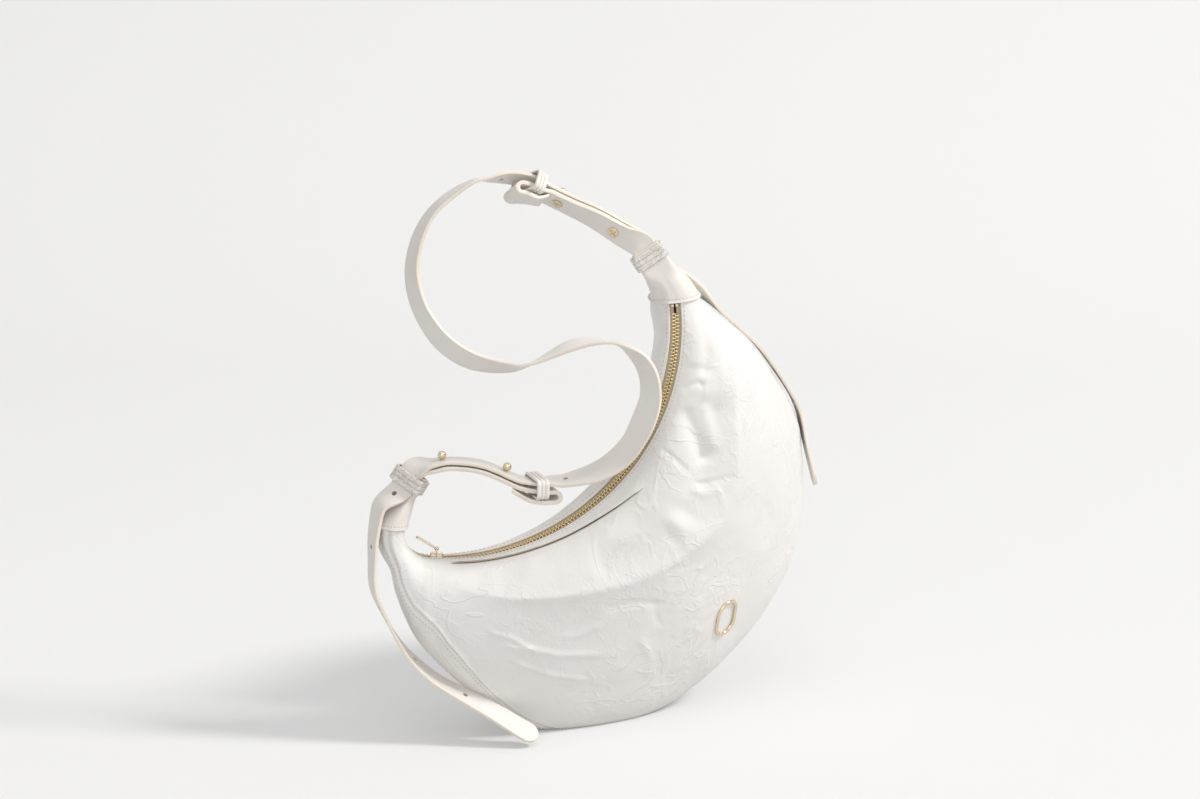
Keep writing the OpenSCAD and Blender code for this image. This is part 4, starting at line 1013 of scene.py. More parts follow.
strap_shares = [
    (0.79, 0.057, 0.374, -0.60, 0.45, -0.65), (0.67, 0.065, 0.451, -0.30, 0.66, -0.68),
    (0.571, 0.075, 0.50, 0, 0.72, -0.69), (0.465, 0.078, 0.552, 0, 0.75, -0.66),
    (0.378, 0.06, 0.602, -0.05, 0.80, -0.60), (0.293, 0.054, 0.615, 0.05, 0.85, -0.53),
    (0.22, 0.049, 0.61, 0.02, 0.96, -0.28), (0.15, 0.043, 0.602, -0.06, 1, -0.04),
    (0.055, 0.037, 0.547, -0.20, 0.97, 0.08), (-0.032, 0.027, 0.469, -0.32, 0.95, 0.03),
    (-0.089, 0.016, 0.364, -0.44, 0.90, 0), (-0.115, 0.005, 0.244, -0.52, 0.85, -0.09),
    (-0.105, -0.005, 0.137, -0.56, 0.78, -0.28), (-0.064, -0.016, 0.031, -0.55, 0.71, -0.44),
    (0.014, -0.032, -0.073, -0.54, 0.60, -0.58), (0.127, -0.048, -0.146, -0.50, 0.62, -0.60),
    (0.271, -0.065, -0.173, -0.30, 0.81, -0.51), (0.384, -0.08, -0.159, -0.10, 0.97, -0.20),
    (0.542, -0.102, -0.082, -0.10, 0.98, 0.18), (0.642, -0.113, -0.057, -0.08, 0.99, 0.10),
    (0.719, -0.124, -0.058, -0.05, 0.99, -0.09), (0.78, -0.136, -0.076, -0.15, 0.96, -0.23),
    (0.84, -0.141, -0.121, -0.40, 0.82, -0.41), (0.874, -0.146, -0.171, -0.62, 0.72, -0.30),
    (0.891, -0.152, -0.232, -0.74, 0.66, -0.12), (0.891, -0.152, -0.304, -0.80, 0.60, -0.05),
    (0.876, -0.152, -0.368, -0.79, 0.60, 0.10), (0.839, -0.144, -0.45, -0.75, 0.60, 0.28),
    (0.77, -0.136, -0.545, -0.60, 0.55, 0.55), (0.673, -0.119, -0.613, -0.30, 0.78, 0.52),
    (0.547, -0.092, -0.656, -0.08, 0.95, 0.28), (0.481, -0.08, -0.664, -0.08, 0.98, 0.16),
    (0.424, -0.08, -0.667, -0.03, 1, 0.05), (0.338, -0.076, -0.658, 0, 1, 0),
    (0.253, -0.07, -0.622, 0, 1, 0), (0.198, -0.065, -0.601, 0, 1, 0),
    (0.143, -0.06, -0.589, 0, 1, 0), (0.083, -0.054, -0.584, 0, 1, 0),
    (0.027, -0.054, -0.584, 0, 1, 0), (-0.034, -0.053, -0.595, -0.15, 0.97, 0.10),
    (-0.09, -0.055, -0.617, -0.45, 0.80, 0.35)]
left_shares = [
    (-0.253, -0.071, -0.755, -0.52, 0.83, 0.19), (-0.286, -0.07, -0.885, -0.42, 0.90, 0.04),
    (-0.294, -0.076, -1.015, -0.35, 0.94, 0), (-0.289, -0.086, -1.145, -0.30, 0.95, -0.06),
    (-0.235, -0.092, -1.275, -0.18, 0.98, -0.09), (-0.181, -0.103, -1.37, -0.09, 0.99, -0.07),
    (-0.121, -0.108, -1.448, 0.04, 1, 0.03), (-0.022, -0.119, -1.534, 0.11, 0.98, 0.14),
    (0.106, -0.124, -1.608, 0.15, 0.95, 0.26), (0.219, -0.141, -1.667, 0.18, 0.92, 0.36),
    (0.333, -0.154, -1.735, 0.20, 0.88, 0.43), (0.409, -0.162, -1.778, 0.20, 0.85, 0.47),
    (0.485, -0.170, -1.82, 0.20, 0.85, 0.47)]
right_shares = [
    (0.924, 0.102, 0.219, -0.84, -0.08, -0.54), (0.942, 0.144, 0.204, -0.84, 0, -0.54),
    (0.964, 0.204, 0.182, -0.84, 0.05, -0.54), (1.004, 0.268, 0.159, -0.83, 0.30, -0.40),
    (1.08, 0.322, 0.108, -0.78, 0.60, -0.17), (1.173, 0.435, 0.011, -0.65, 0.65, 0.39),
    (1.276, 0.605, -0.10, -0.59, 0.69, 0.42), (1.384, 0.768, -0.224, -0.46, 0.82, 0.35),
    (1.489, 0.881, -0.378, -0.35, 0.91, 0.26), (1.584, 0.962, -0.549, -0.21, 0.97, 0.14),
    (1.627, 0.951, -0.73, -0.10, 1, -0.10), (1.67, 0.93, -0.908, -0.10, 0.98, -0.10),
    (1.70, 0.91, -1.06, -0.10, 0.98, -0.10)]
steer = strap_width / 2
strap = Route([tip_line(2, turn_play - steer, strap_level), tip_line(2, turn_play, strap_level)]
              + from_shares(strap_shares)
              + [tip_line(-1, -turn_play, strap_level),
                 tip_line(-1, steer - turn_play, strap_level)])
tail_routes = {
    "left": Route([tip_line(-1, stub_length + tail_gap - steer, strap_level),
                   tip_line(-1, stub_length + tail_gap, tail_level)] + from_shares(left_shares)),
    "right": Route([tip_line(2, steer - stub_length - tail_gap, strap_level),
                    tip_line(2, -stub_length - tail_gap, tail_level)] + from_shares(right_shares))}


def cut_holes(thing, mats, places):
    """Round holes straight through a belt, at (place, outward) with the CAD holes' size."""
    points, faces = [], []
    for p, z in places:
        x = unit(np.cross(z, (0.3, 0.5, 0.81)))
        y = np.cross(z, x)
        start, n = len(points), 20
        for h in (-1, 1):
            points += [p + z * h * 2 * strap_thick + hole_r * (math.cos(t) * x + math.sin(t) * y)
                       for t in np.linspace(0, 2 * math.pi, n, endpoint=False)]
        faces += [(start + k, start + (k + 1) % n, start + n + (k + 1) % n, start + n + k)
                  for k in range(n)]
        faces += [[start + k for k in range(n)][::-1], [start + n + k for k in range(n)]]
    mesh = bpy.data.meshes.new("punch")
    mesh.from_pydata([tuple(float(c) * MM for c in q) for q in points], [], faces)
    for m in mats:
        mesh.materials.append(m)
    mesh.polygons.foreach_set("material_index", [2] * len(mesh.polygons))
    punch = bpy.data.objects.new("punch", mesh)
    bpy.context.scene.collection.objects.link(punch)
    tool = thing.modifiers.new("holes", "BOOLEAN")
    tool.operation, tool.object, tool.solver = "DIFFERENCE", punch, "EXACT"
    bpy.context.view_layer.update()
    cut = thing.evaluated_get(bpy.context.evaluated_depsgraph_get())
    made = bpy.data.meshes.new_from_object(cut)
    thing.modifiers.remove(tool)
    thing.data = made
    made.set_sharp_from_angle(angle=math.radians(50))
    bpy.data.objects.remove(punch)


def belt(name, rows, thick, body, mats, holes=()):
    """A strap of (place, across, half width, outward) rows: flat faces, rounded painted edges."""
    groove, edge_round = 0.08, 0.8
    points, faces, index = [], [], []
    y = thick / 2
    for p, w, h, z in rows:
        e = min(edge_round, y * 0.6, h * 0.9)
        flat = [(-1, 0.0), (-0.86, groove), (-0.78, 0.0), (-0.4, 0.06), (0, groove), (0.4, 0.06),
                (0.78, 0.0), (0.86, groove), (1, 0.0)]
        edge = [(h - e * 0.35, y - e * 0.12), (h - e * 0.08, y - e * 0.5), (h, 0),
                (h - e * 0.08, -y + e * 0.5), (h - e * 0.35, -y + e * 0.12)]
        top = [(a * (h - e), y + b - groove) for a, b in flat]
        outline = top + edge + [(-a, -b) for a, b in top] + [(-a, -b) for a, b in edge]
        points += [p + w * a + z * b for a, b in outline]
    count = len(outline)
    n = len(rows)
    for i in range(n - 1):
        for k in range(count):
            l = (k + 1) % count
            faces.append((i * count + k, i * count + l, (i + 1) * count + l, (i + 1) * count + k))
            flat_face = k < len(top) - 1 or len(top + edge) <= k < len(outline) - len(edge) - 1
            index.append(0 if flat_face else 1)
    faces += [list(range(count))[::-1], [(n - 1) * count + k for k in range(count)]]
    index += [1, 1]
    first = np.cross(points[1] - points[0], points[count] - points[0])
    if first @ rows[0][3] < 0:
        faces = [f[::-1] for f in faces]
    thing = piece(name, points, faces, body, mats, index, sharp=50)
    if holes:
        cut_holes(thing, mats, holes)
    return thing


def belt_rows(route, a, b, step=2.0):
    """Rows of a belt of full width from a to b mm along the route."""
    out = []
    for x in np.linspace(a, b, max(int(abs(b - a) / step), 2) + 1):
        p, t, w, z = route.at(x)
        out.append((p, w, strap_width / 2, z))
    return out


def stub_rows(w, out, places, level, sense=1):
    """Rows on the straight line through the keeper, x mm outwards of the tip."""
    forward = path_frame(w)[1]
    rows = []
    for x in places:
        p, side = tip_line(w, out * x, level)
        rows.append((p, side, strap_width / 2, np.cross(side, forward * sense)))
    return rows


def bridge(a, b, at_a, at_b, n=16):
    """Rows on one smooth curve from row a to row b, leaving along at_a and arriving along at_b."""
    span = np.linalg.norm(b[0] - a[0])
    rows = []
    for u in np.linspace(0, 1, n + 1):
        h = (2 * u ** 3 - 3 * u * u + 1, u ** 3 - 2 * u * u + u,
             3 * u * u - 2 * u ** 3, u ** 3 - u * u)
        d = (6 * u * u - 6 * u, 3 * u * u - 4 * u + 1, 6 * u - 6 * u * u, 3 * u * u - 2 * u)
        p = h[0] * a[0] + h[1] * span * at_a + h[2] * b[0] + h[3] * span * at_b
        t = unit(d[0] * a[0] + d[1] * span * at_a + d[2] * b[0] + d[3] * span * at_b)
        k = u * u * (3 - 2 * u)
        w = a[1] * (1 - k) + b[1] * k
        w = unit(w - t * (w @ t))
        z = np.cross(w, t)
        up = a[3] * (1 - k) + b[3] * k
        rows.append((p, w, a[2] * (1 - k) + b[2] * k, z if z @ up > 0 else -z))
    return rows


def bend(thing, a, b, start, end):
    """Bakes the piece's placement into its mesh; a, b, start and end are not used."""
    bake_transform(thing)


turn, stud_first, stud_spacing, hole_r = 19.0, 24.0, 50.0, 2.0
stud_places = (stud_first, stud_first + stud_spacing)


def counted(x, s):
    """x mm from the strap's right end (s = 1) or its left end (s = -1), along its route."""
    return x if s > 0 else strap.total - x


hole_at = [strap.at(counted(stud_first + i * stud_spacing, s)) for s in (-1, 1) for i in range(3)]
middle = belt("strap_middle", belt_rows(strap, turn, strap.total - turn, 1.6), strap_thick, "strap",
              strap_mats, [(q[0], q[3]) for q in hole_at])
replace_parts(middle, "shoulder_strap")
in_keeper = spread(-0.5 * stub_length, -1, 4)
for name, w, s in (("left", -1, -1), ("right", 2, 1)):
    stub = stub_rows(w, s, in_keeper, strap_level)
    joint_row = belt_rows(strap, counted(turn, s), counted(turn + 1, s))[0]
    rows = stub[:-1] + bridge(stub[-1], joint_row, path_frame(w)[1] * s,
                              strap.at(counted(turn, s))[1] * s)
    end_piece = belt("strap_end_" + name, rows[::s], strap_thick, None, strap_mats)
    bend(end_piece, "bag", "strap", tip_line(w, 0, strap_level)[0], joint_row[0])


# ---------------------------------------------------------------- strap tails
# The two free ends of the same belt, cut round, with a row of punched holes to set its length.
# Each leaves its keeper under the strap and hangs down the outside of the bag.
tail_hole = stud_spacing - stud_first - turn_play - stub_length - tail_gap
tail_from, bend_from, bend_to = 24, 14.5, 16
tail_stub_to, end_from, end_short = -13, 0.12, 0.03
for name, w, out, sense in (("left", -1, -1, 1), ("right", 2, 1, -1)):
    way = tail_routes[name]
    total, r = way.total, strap_width / 2
    round_end = [total - r + r * math.sin(t)
                 for t in np.linspace(end_from, math.pi / 2 - end_short, 12)]
    stub = stub_rows(w, out, spread(-0.5 * stub_length, tail_stub_to, 6), strap_level, sense)
    first = belt_rows(way, tail_from, tail_from + 2)[0]
    leave = -path_frame(w)[1] * out
    rows = stub[:-1] + bridge(stub[-1], first, leave, way.at(tail_from)[1], 20)[:-1]
    rows += belt_rows(way, tail_from, total - r)
    for x in round_end:
        p, t, side, z = way.at(x)
        rows.append((p, side, math.sqrt(max(r * r - (x - total + r) ** 2, 0.0)), z))
    holes = [way.at(x) for x in np.arange(tail_hole, total - strap_width, stud_spacing)]
    tail_piece = belt("tail_" + name, rows, strap_thick, None, strap_mats,
                      [(q[0], q[3]) for q in holes])
    bend(tail_piece, "bag", "tail_" + name, tip_line(w, -out * bend_from, strap_level)[0],
         way.at(bend_to)[0])
    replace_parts(tail_piece, "strap_tail_" + name, "strap_in_keeper_" + name)


# ---------------------------------------------------------------- tabs
# Thicker tongues of the same calf, 3.6 mm, that come out of the caps under the strap. Ball studs
# button them to the strap, and their ends fold back round a slanted keeper.
keeper_leather = 2.2
stack_play, flange_t, flange_d, fold_play = 2 * gap, 1.0, 8.5, 2.6
stack = tab_thick / 2 + flange_t + stack_play + strap_thick / 2
tip_stack = strap_level - bar_height - tip_depth / 2
ring_after, ring_slant, ring_width, ring_side = 27, 22.0, 10.0, 1.8
ring_start = stud_first + stud_spacing + ring_after
slant = math.tan(ring_slant * RAD)
ring_half = ring_width / 2 / math.cos(ring_slant * RAD)
fold_radius = (tab_thick + keeper_leather + fold_play) / 2
fold_start = ring_start + ring_half + strap_width / 2 * slant
arm_back, root_from = 0.52 * stud_spacing, -12
tab_spread = {"left": 2.0, "right": 3.5}


def tab_below(x, spread_by):
    """How far the tab's middle lies under the strap's, x mm along it."""
    places = (0, 0.75 * stud_first, stud_places[1] + flange_d, ring_start, fold_start)
    depths = (tip_stack, stack, stack, stack + spread_by, stack + spread_by)
    return float(np.interp(x, places, depths))


def arm_below(x):
    """How far the folded arm lies under the tab."""
    return float(np.interp(fold_start - x, (0, fold_start - ring_start + ring_half, arm_back),
                           (2 * fold_radius, 2 * fold_radius, tab_thick + stack_play)))


def tab_row(x, s, below):
    """A row of the tab, turned to the keeper's slant as it nears it."""
    p, t, w, z = strap.at(counted(x, s))
    side = w + t * float(np.interp(x, (stud_places[1] + flange_d, ring_start), (0, slant)))
    return p - z * below, unit(side), strap_width / 2 * np.linalg.norm(side), z


for name, w, s in (("left", -1, -1), ("right", 2, 1)):
    spread_by = tab_spread[name]
    level = bar_height + tip_depth / 2
    roots = stub_rows(w, s, spread(root_from, -1, 6), level)
    joint_row = tab_row(turn, s, tab_below(turn, spread_by))
    near_rows = bridge(roots[-1], joint_row, path_frame(w)[1] * s,
                       strap.at(counted(turn, s))[1] * s)
    far_rows = [tab_row(x, s, tab_below(x, spread_by)) for x in spread(turn, fold_start - 0.5, 50)]
    p, t, side, z = strap.at(counted(fold_start, s))
    middle_of = p - z * (tab_below(fold_start, spread_by) + fold_radius)
    fold_side = tab_row(fold_start, s, 0)
    for a in spread(0, math.pi, 14):
        up = z * math.cos(a) + t * s * math.sin(a)
        far_rows.append((middle_of + fold_radius * up, fold_side[1], fold_side[2], up))
    for x in spread(fold_start - 0.5, fold_start - arm_back, 20):
        q = tab_row(x, s, tab_below(x, spread_by) + arm_below(x))
        far_rows.append((q[0], q[1], q[2], -q[3]))
    root_piece = belt("tab_root_" + name, roots[:-1] + near_rows, tab_thick, None, strap_mats)
    bend(root_piece, "bag", "strap", tip_line(w, 0, level)[0], joint_row[0])
    tab_piece = belt("tab_tongue_" + name, far_rows, tab_thick, "strap", strap_mats)
    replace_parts(tab_piece, "tab_" + name)


# ---------------------------------------------------------------- keepers
# Bands of grained calf 2.2 mm thick, closed round strap and tab with a seam on the inside. Two
# stitch rows press three ribs into each: one at either horn's tip, one slanted further along.
# Calf printed with a close grain: matt and drier than the caps, so that the bands stand out.
# Its grain is 3 mm wide, coarser than real, so that it shows.
grained_calf = leather("grained_calf", "#ebe7e2", "#e2dcd4", 0.5, [(3.125, 0.8, (1, 1, 1), 2.0)],
                       0.6, 0.05)
keeper_corner, rib_press, rib_wide, edge_fall, edge_press = 2.2, 0.5, 0.55, 0.7, 0.5
keeper_press, keeper_room, groove_share = 0.16, 0.05, 6.6


def outline(x0, x1, half, r, n=6, m=12):
    """Rounded outline as (point, normal), once round."""
    points = []
    corners = ((x1 - r, half - r, 0), (x0 + r, half - r, 90), (x0 + r, -half + r, 180),
               (x1 - r, -half + r, 270))
    for i, (cx, cy, a0) in enumerate(corners):
        arc = [(cx + r * math.cos(a * RAD), cy + r * math.sin(a * RAD), math.cos(a * RAD),
                math.sin(a * RAD)) for a in np.linspace(a0, a0 + 90, n + 1)]
        points += arc
        nx, ny, a1 = corners[(i + 1) % 4]
        end = (nx + r * math.cos(a1 * RAD), ny + r * math.sin(a1 * RAD))
        last = arc[-1]
        points += [(last[0] + (end[0] - last[0]) * u, last[1] + (end[1] - last[1]) * u,
                    last[2], last[3]) for u in np.linspace(0, 1, m + 1)[1:-1]]
    return np.array(points)


def keeper(name, node, place, x_axis, y_axis, z_axis, x0, x1, half, width, body):
    """A keeper about place: open along z_axis, from x0 to x1 and half to each side."""
    loop = outline(x0, x1, half, keeper_corner)
    zs = np.linspace(-width / 2, width / 2, 33)
    groove = width / groove_share
    rise = (keeper_leather - keeper_press
            - rib_press * np.exp(-((np.abs(zs) - groove) / rib_wide) ** 2)
            - edge_press * np.clip((np.abs(zs) - width / 2 + edge_fall) / edge_fall, 0, 1) ** 2)
    centre_of = loop[:, 0:1] * x_axis + loop[:, 1:2] * y_axis
    out = loop[:, 2:3] * x_axis + loop[:, 3:4] * y_axis
    g = np.array([place + centre_of + out * h + z_axis * z for z, h in zip(zs, rise)])
    n = np.array([out for z in zs])
    thick = np.broadcast_to((rise - keeper_room)[:, None, None], (len(zs), len(loop), 1))
    points, faces, index = shell(g, n, thick, closed=True, round_out=0.1)
    thing = piece(name, points, faces, body, [grained_calf, flesh_side_and_shade, edge_paint], index)
    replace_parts(thing, node)
    for j, z in enumerate((-groove, groove)):
        rows = np.hstack([place + centre_of + out * (keeper_leather - rib_press) + z_axis * z, out])
        stitches(f"stitches_{name}_{j}", np.vstack([rows, rows[:1]]), body, pitch=2.2, length=1.6,
                 r=0.22)


keeper_low = bar_height - cap_offset - keeper_play
keeper_high = strap_level + strap_thick / 2 + keeper_play
keeper_half = tip_half + cap_offset + keeper_play
for name, w, out in (("left", -1, -1), ("right", 2, 1)):
    f = path_frame(w)
    keeper("keeper_horn_" + name, "horn_keeper_" + name, f[0] - f[1] * out * (1 + keeper_width / 2),
           f[2], f[3], f[1], keeper_low, keeper_high, keeper_half, keeper_width, "bag")
for name, s in (("left", -1), ("right", 1)):
    p, t, side, z = strap.at(counted(ring_start, s))
    u = unit(side + t * slant)
    y = np.cross(z, u)
    room = 4 * keeper_play
    half = (strap_width / 2 + ring_side) / math.cos(ring_slant * RAD) + ring_width / 2 * slant
    keeper("keeper_ring_" + name, "ring_keeper_" + name, p, z, -u, -y,
           -stack - tab_spread[name] - tab_thick / 2 - room, strap_thick / 2 + room, half,
           ring_width, "strap")


# ---------------------------------------------------------------- ball studs, emblem ring, washers
# Zinc castings, polished and plated: four ball studs that close the strap's holes, and on the
# front a plain oval ring of wire, held from inside by two washers on its bent prongs.
def plated(name, base, rough):
    """Polished plating: full metal and soft highlights."""
    cloud_size = 6.25
    made, tree, shader = material(name)
    place = add(tree, "TexCoord").outputs["Object"]
    cloud = add(tree, "TexNoise", {"Vector": place, "Scale": waves(cloud_size), "Detail": 2})
    tone = add(tree, "MapRange", {"Value": cloud.outputs["Fac"], "From Min": 0.3, "From Max": 0.7,
                                  "To Min": rough - 0.04, "To Max": rough + 0.06})
    normal = add(tree, "Bump", {"Height": cloud.outputs["Fac"], "Strength": 0.05,
                                "Distance": 0.0002})
    tree.links.new(tone.outputs["Result"], shader.inputs["Roughness"])
    tree.links.new(normal.outputs["Normal"], shader.inputs["Normal"])
    shader.inputs["Base Color"].default_value = srgb(base)
    shader.inputs["Metallic"].default_value = 1
    return made


# Pale gold plate on polished zinc: a champagne shine with small bright highlights.
gold = plated("pale_gold_plate", "#dccbb0", 0.18)
for name in ("ball_studs", "emblem_ring", "emblem_washers"):
    for slot_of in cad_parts[name].material_slots:
        slot_of.material = gold


# ---------------------------------------------------------------- zip chain
# Cast teeth clamped on the cord at each tape's edge; those of one side fill the other's gaps, and
# a stop closes the chain at both ends.
# Tumbled brass: a yellower and softer shine than the plated parts, worn even by the slider.
tooth_brass = plated("tooth_brass", "#ead2a4", 0.3)
tooth_pitch = 2.8
tooth_width, tooth_mesh = 0.42 * tooth_pitch, 0.15 * tooth_length
slider_w = (slider_rest - zip_start) / zip_turn
chain_level = bar_height + chain_depth
stop_length = 2 * tooth_width
chain_start = slider_w * zip_length + tooth_width
teeth = int((zip_length - 2 * stop_length - tooth_pitch - chain_start) / tooth_pitch)


def cast_block(origin, axes, low, high, r):
    """A small casting with rounded edges: low and high corners in the given axes."""
    low, high = np.array(low, float), np.array(high, float)
    mid, half = (low + high) / 2, (high - low) / 2
    r = min(r, half.min() * 0.95)
    marks = [sorted({float(v) for c in (0, 0.45, 1) for v in (-h + r * c, h - r * c)})
             for h in half]
    points, faces, seen_at = [], [], {}

    def corner(q):
        key = tuple(np.round(q, 5))
        if key not in seen_at:
            inner = np.clip(q, -(half - r), half - r)
            p = mid + inner + r * unit(q - inner)
            seen_at[key] = len(points)
            points.append(origin + axes[0] * p[0] + axes[1] * p[1] + axes[2] * p[2])
        return seen_at[key]

    for a in range(3):
        b, c = (a + 1) % 3, (a + 2) % 3
        for sign in (-1, 1):
            for i in range(len(marks[b]) - 1):
                for k in range(len(marks[c]) - 1):
                    quad = []
                    for x, y in ((i, k), (i + 1, k), (i + 1, k + 1), (i, k + 1)):
                        q = np.zeros(3)
                        q[a], q[b], q[c] = sign * half[a], marks[b][x], marks[c][y]
                        quad.append(corner(q))
                    faces.append(quad if sign > 0 else quad[::-1])
    if np.cross(axes[0], axes[1]) @ axes[2] < 0:
        faces = [f[::-1] for f in faces]
    return points, faces, [0] * len(faces)


def joined(parts):
    """Several (points, faces, index) as one."""
    points, faces, index = [], [], []
    for p, f, i in parts:
        faces += [[k + len(points) for k in q] for q in f]
        index += list(i)
        points += list(p)
    return points, faces, index


def path_axes(w):
    f = path_frame(w)
    return f[0], (f[2], f[3], f[1])


def clamp(side, w, width, reach):
    """A tooth or stop on one side's cord at w, reach mm wide across the chain."""
    place, axes = path_axes(w)
    near_to, far_to = ((-tooth_reach, -tooth_reach + reach) if side < 0
                       else (tooth_reach - reach, tooth_reach))
    return cast_block(place, axes, (chain_level - tooth_height / 2, near_to, -width / 2),
                      (chain_level + tooth_height / 2, far_to, width / 2), 0.42)


for name, side in (("front", -1), ("back", 1)):
    first = 0 if side < 0 else 0.5
    points, faces, index = joined([
        clamp(side, (chain_start + (i + first) * tooth_pitch) / zip_length, tooth_width,
              tooth_length) for i in range(teeth)])
    teeth_piece = piece("teeth_" + name, points, faces, "bag", [tooth_brass])
    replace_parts(teeth_piece, "zip_teeth_" + name)
points, faces, index = joined([
    clamp(side, w, stop_length, tooth_reach - tooth_mesh) for side in (-1, 1)
    for w in (-stop_length / left_horn, 1 - stop_length / zip_length)])
stops = piece("stops", points, faces, "bag", [gold])
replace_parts(stops, "zip_stops")


# ---------------------------------------------------------------- zip slider
# A die cast slider, plated as the studs are: two plates with rims that hold the tapes, a wedge
# between them that parts the teeth, and a bridge on two posts that holds the pull's ring.
place, axes = path_axes(slider_w)
slider_length = 10.0
half_wide = tooth_reach + slider_play + slider_wall
half_long, wedge, post, end_play = slider_length / 2, slider_length / 4, slider_wall, 0.3
upper_face = chain_level - slider_half
blocks = []
for s in (-1, 1):
    a = chain_level + s * (slider_half - slider_wall / 2)
    blocks.append(((a - slider_wall / 2, -half_wide, -half_long),
                   (a + slider_wall / 2, half_wide, half_long), 0.48))
    rim = sorted((s * half_wide, s * (half_wide - slider_wall)))
    for level in (-1, 1):
        high = sorted((chain_level + level * (tape_thickness / 2 + slider_play),
                       chain_level + level * slider_half))
        blocks.append(((high[0], rim[0], -half_long + end_play),
                       (high[1], rim[1], half_long - end_play), 0.3))
blocks.append(((upper_face + slider_wall / 2, -wedge / 2, -half_long + 0.2),
               (chain_level + slider_half - slider_wall / 2, wedge / 2, -half_long + wedge), 0.6))
for z in (-half_long, half_long - post):
    blocks.append(((0, -bar_d / 2, z), (upper_face + 0.6, bar_d / 2, z + post), 0.4))
blocks.append(((-bar_d / 2, -bar_d / 2, -half_long), (bar_d / 2, bar_d / 2, half_long), 0.75))
points, faces, index = joined([cast_block(place, axes, low, high, r) for low, high, r in blocks])
slider = piece("slider", points, faces, "zip_slider", [gold])
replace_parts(slider, "zip_slider")


# ---------------------------------------------------------------- ring and pull
# A long ring of drawn wire, closed round the slider's bridge, and a cast pull that hangs on it by
# an eye: a short neck and a flat tongue with a round end. Both are plated like the slider.
def wire_loop(places, r, around=12, wide=1.0):
    """A closed wire through places; wide stretches it across the loop's plane."""
    line = np.array(places)
    t = np.roll(line, -1, axis=0) - np.roll(line, 1, axis=0)
    flat = unit(np.cross(t[0], t[len(t) // 4]))
    points, faces, n = [], [], len(line)
    for p, d in zip(line, t):
        side = unit(np.cross(flat, d))
        points += [p + r * (math.cos(a) * side + wide * math.sin(a) * flat)
                   for a in np.linspace(0, 2 * math.pi, around, endpoint=False)]
    for i in range(n):
        for k in range(around):
            l, m = (k + 1) % around, (i + 1) % n
            faces.append((i * around + k, i * around + l, m * around + l, m * around + k))
    return points, faces, [0] * len(faces)


def half_turn(start, shift):
    """Half of the ring from angle start, its middle moved out by shift."""
    return [place + axes[0] * (ring_radius * math.cos(a * RAD) - shift)
            + axes[1] * ring_radius * math.sin(a * RAD)
            for a in np.linspace(start, start + 180, 16)]


link = ring_radius + ring_play
points, faces, index = wire_loop(half_turn(-90, 0) + half_turn(90, link), ring_wire / 2)
ring_piece = piece("pull_ring", points, faces, "zip_runner", [gold])
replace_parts(ring_piece, "zip_pull_ring")

pull_length, pull_width, pull_thick, pull_rest = 19.0, 5.0, 1.2, 30 * RAD
eye_r, eye_wall, eye_width = ring_wire / 2 + 0.45, pull_thick / 1.5, 1.6
hang_at = place - axes[0] * (link + ring_radius)
pull_axes = (axes[0] * math.cos(pull_rest) - axes[2] * math.sin(pull_rest), axes[1],
             axes[0] * math.sin(pull_rest) + axes[2] * math.cos(pull_rest))
neck_to = -(eye_r + eye_wall + pull_thick / 2)
eye_line = [hang_at + (eye_r + eye_wall / 2)
            * (pull_axes[0] * math.cos(a) + pull_axes[2] * math.sin(a))
            for a in np.linspace(0, 2 * math.pi, 28, endpoint=False)]
eye = wire_loop(eye_line, eye_wall / 2, 12, eye_width / eye_wall)
neck = cast_block(hang_at, pull_axes, (-pull_thick / 2, -eye_width / 2, neck_to - 1),
                  (pull_thick / 2, eye_width / 2, -eye_r - 0.15), 0.3)
shoulder_r, end_z = 0.9, -pull_length + pull_width / 2
shoulder_y, shoulder_z = pull_width / 2 - shoulder_r, neck_to - shoulder_r
corners = ((shoulder_y, shoulder_z, shoulder_r, 0, 90, 7),
           (-shoulder_y, shoulder_z, shoulder_r, 90, 90, 7),
           (0, end_z, pull_width / 2, 180, 180, 25))
levels = ((-1, 0.34), (-0.86, 0.1), (-0.6, 0), (0.6, 0), (0.86, 0.1), (1, 0.34))
tongue_points = []
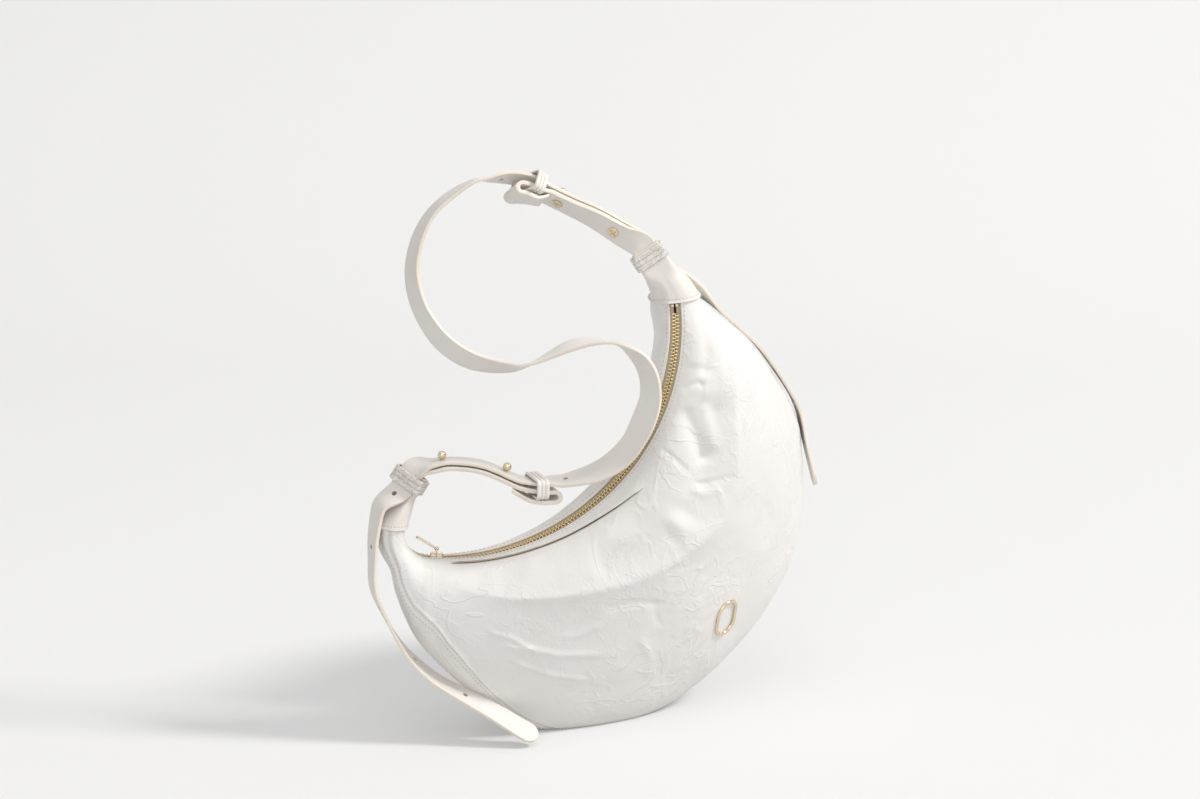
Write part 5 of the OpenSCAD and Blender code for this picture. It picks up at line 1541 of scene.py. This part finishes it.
for x, inset in levels:
    rim = [(y + (r - inset) * math.cos((start + a) * RAD),
            z + (r - inset) * math.sin((start + a) * RAD))
           for y, z, r, start, by, count in corners for a in np.linspace(0, by, count)]
    tongue_points += [hang_at + pull_axes[0] * x * pull_thick / 2 + pull_axes[1] * y
                      + pull_axes[2] * z for y, z in rim]
n, top = len(rim), len(levels) - 1
tongue_faces = [(j * n + k, j * n + (k + 1) % n, (j + 1) * n + (k + 1) % n, (j + 1) * n + k)
                for j in range(top) for k in range(n)]
tongue_faces += [list(range(n))[::-1], [top * n + k for k in range(n)]]
points, faces, index = joined([eye, neck, (tongue_points, tongue_faces, [0] * len(tongue_faces))])
pull_piece = piece("pull", points, faces, "zip_pull", [gold])
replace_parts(pull_piece, "zip_pull")


# ---------------------------------------------------------------- stud screws
# Turned screws, plated like the studs that they hold from under the tabs: a low dome with a
# cross slot, cut 1.1 mm wide and 0.55 mm deep.
slot_half, slot_deep, slot_reach, slot_turn = 0.55, 0.55, 2.9, 0.4
points, faces = [], []
tab_face = stack - tab_thick / 2
rings = [(flange_d / 2 - 0.1, 0.0), (flange_d / 2, 0.25), (flange_d / 2, 0.6),
         (flange_d / 2 - 0.25, 0.9)]
rings += [(r, 1.0) for r in np.linspace(flange_d / 2 - 0.5, 0.05, 26)]
around = 64
for s in (-1, 1):
    for x in stud_places:
        p, t, side, z = strap.at(counted(x, s))
        y = np.cross(z, side)
        base_at = p - z * (tab_face + tab_thick + stack_play)
        start = len(points)
        for r, h in rings:
            for k in range(around):
                a = 2 * math.pi * k / around
                u, v = r * math.cos(a), r * math.sin(a)
                across = min(abs(u + slot_turn * v), abs(v - slot_turn * u))
                deep = slot_deep if h == 1.0 and r < slot_reach and across < slot_half else 0.0
                points.append(base_at - z * (h - deep) + side * u + y * v)
        for j in range(len(rings) - 1):
            for k in range(around):
                a, b = start + j * around + k, start + j * around + (k + 1) % around
                faces.append((a, b, b + around, a + around))
        faces.append([start + k for k in range(around)][::-1])
        faces.append([start + (len(rings) - 1) * around + k for k in range(around)])
screws = piece("cross_screws", points, faces, "strap", [gold], sharp=30)
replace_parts(screws, "stud_screws")
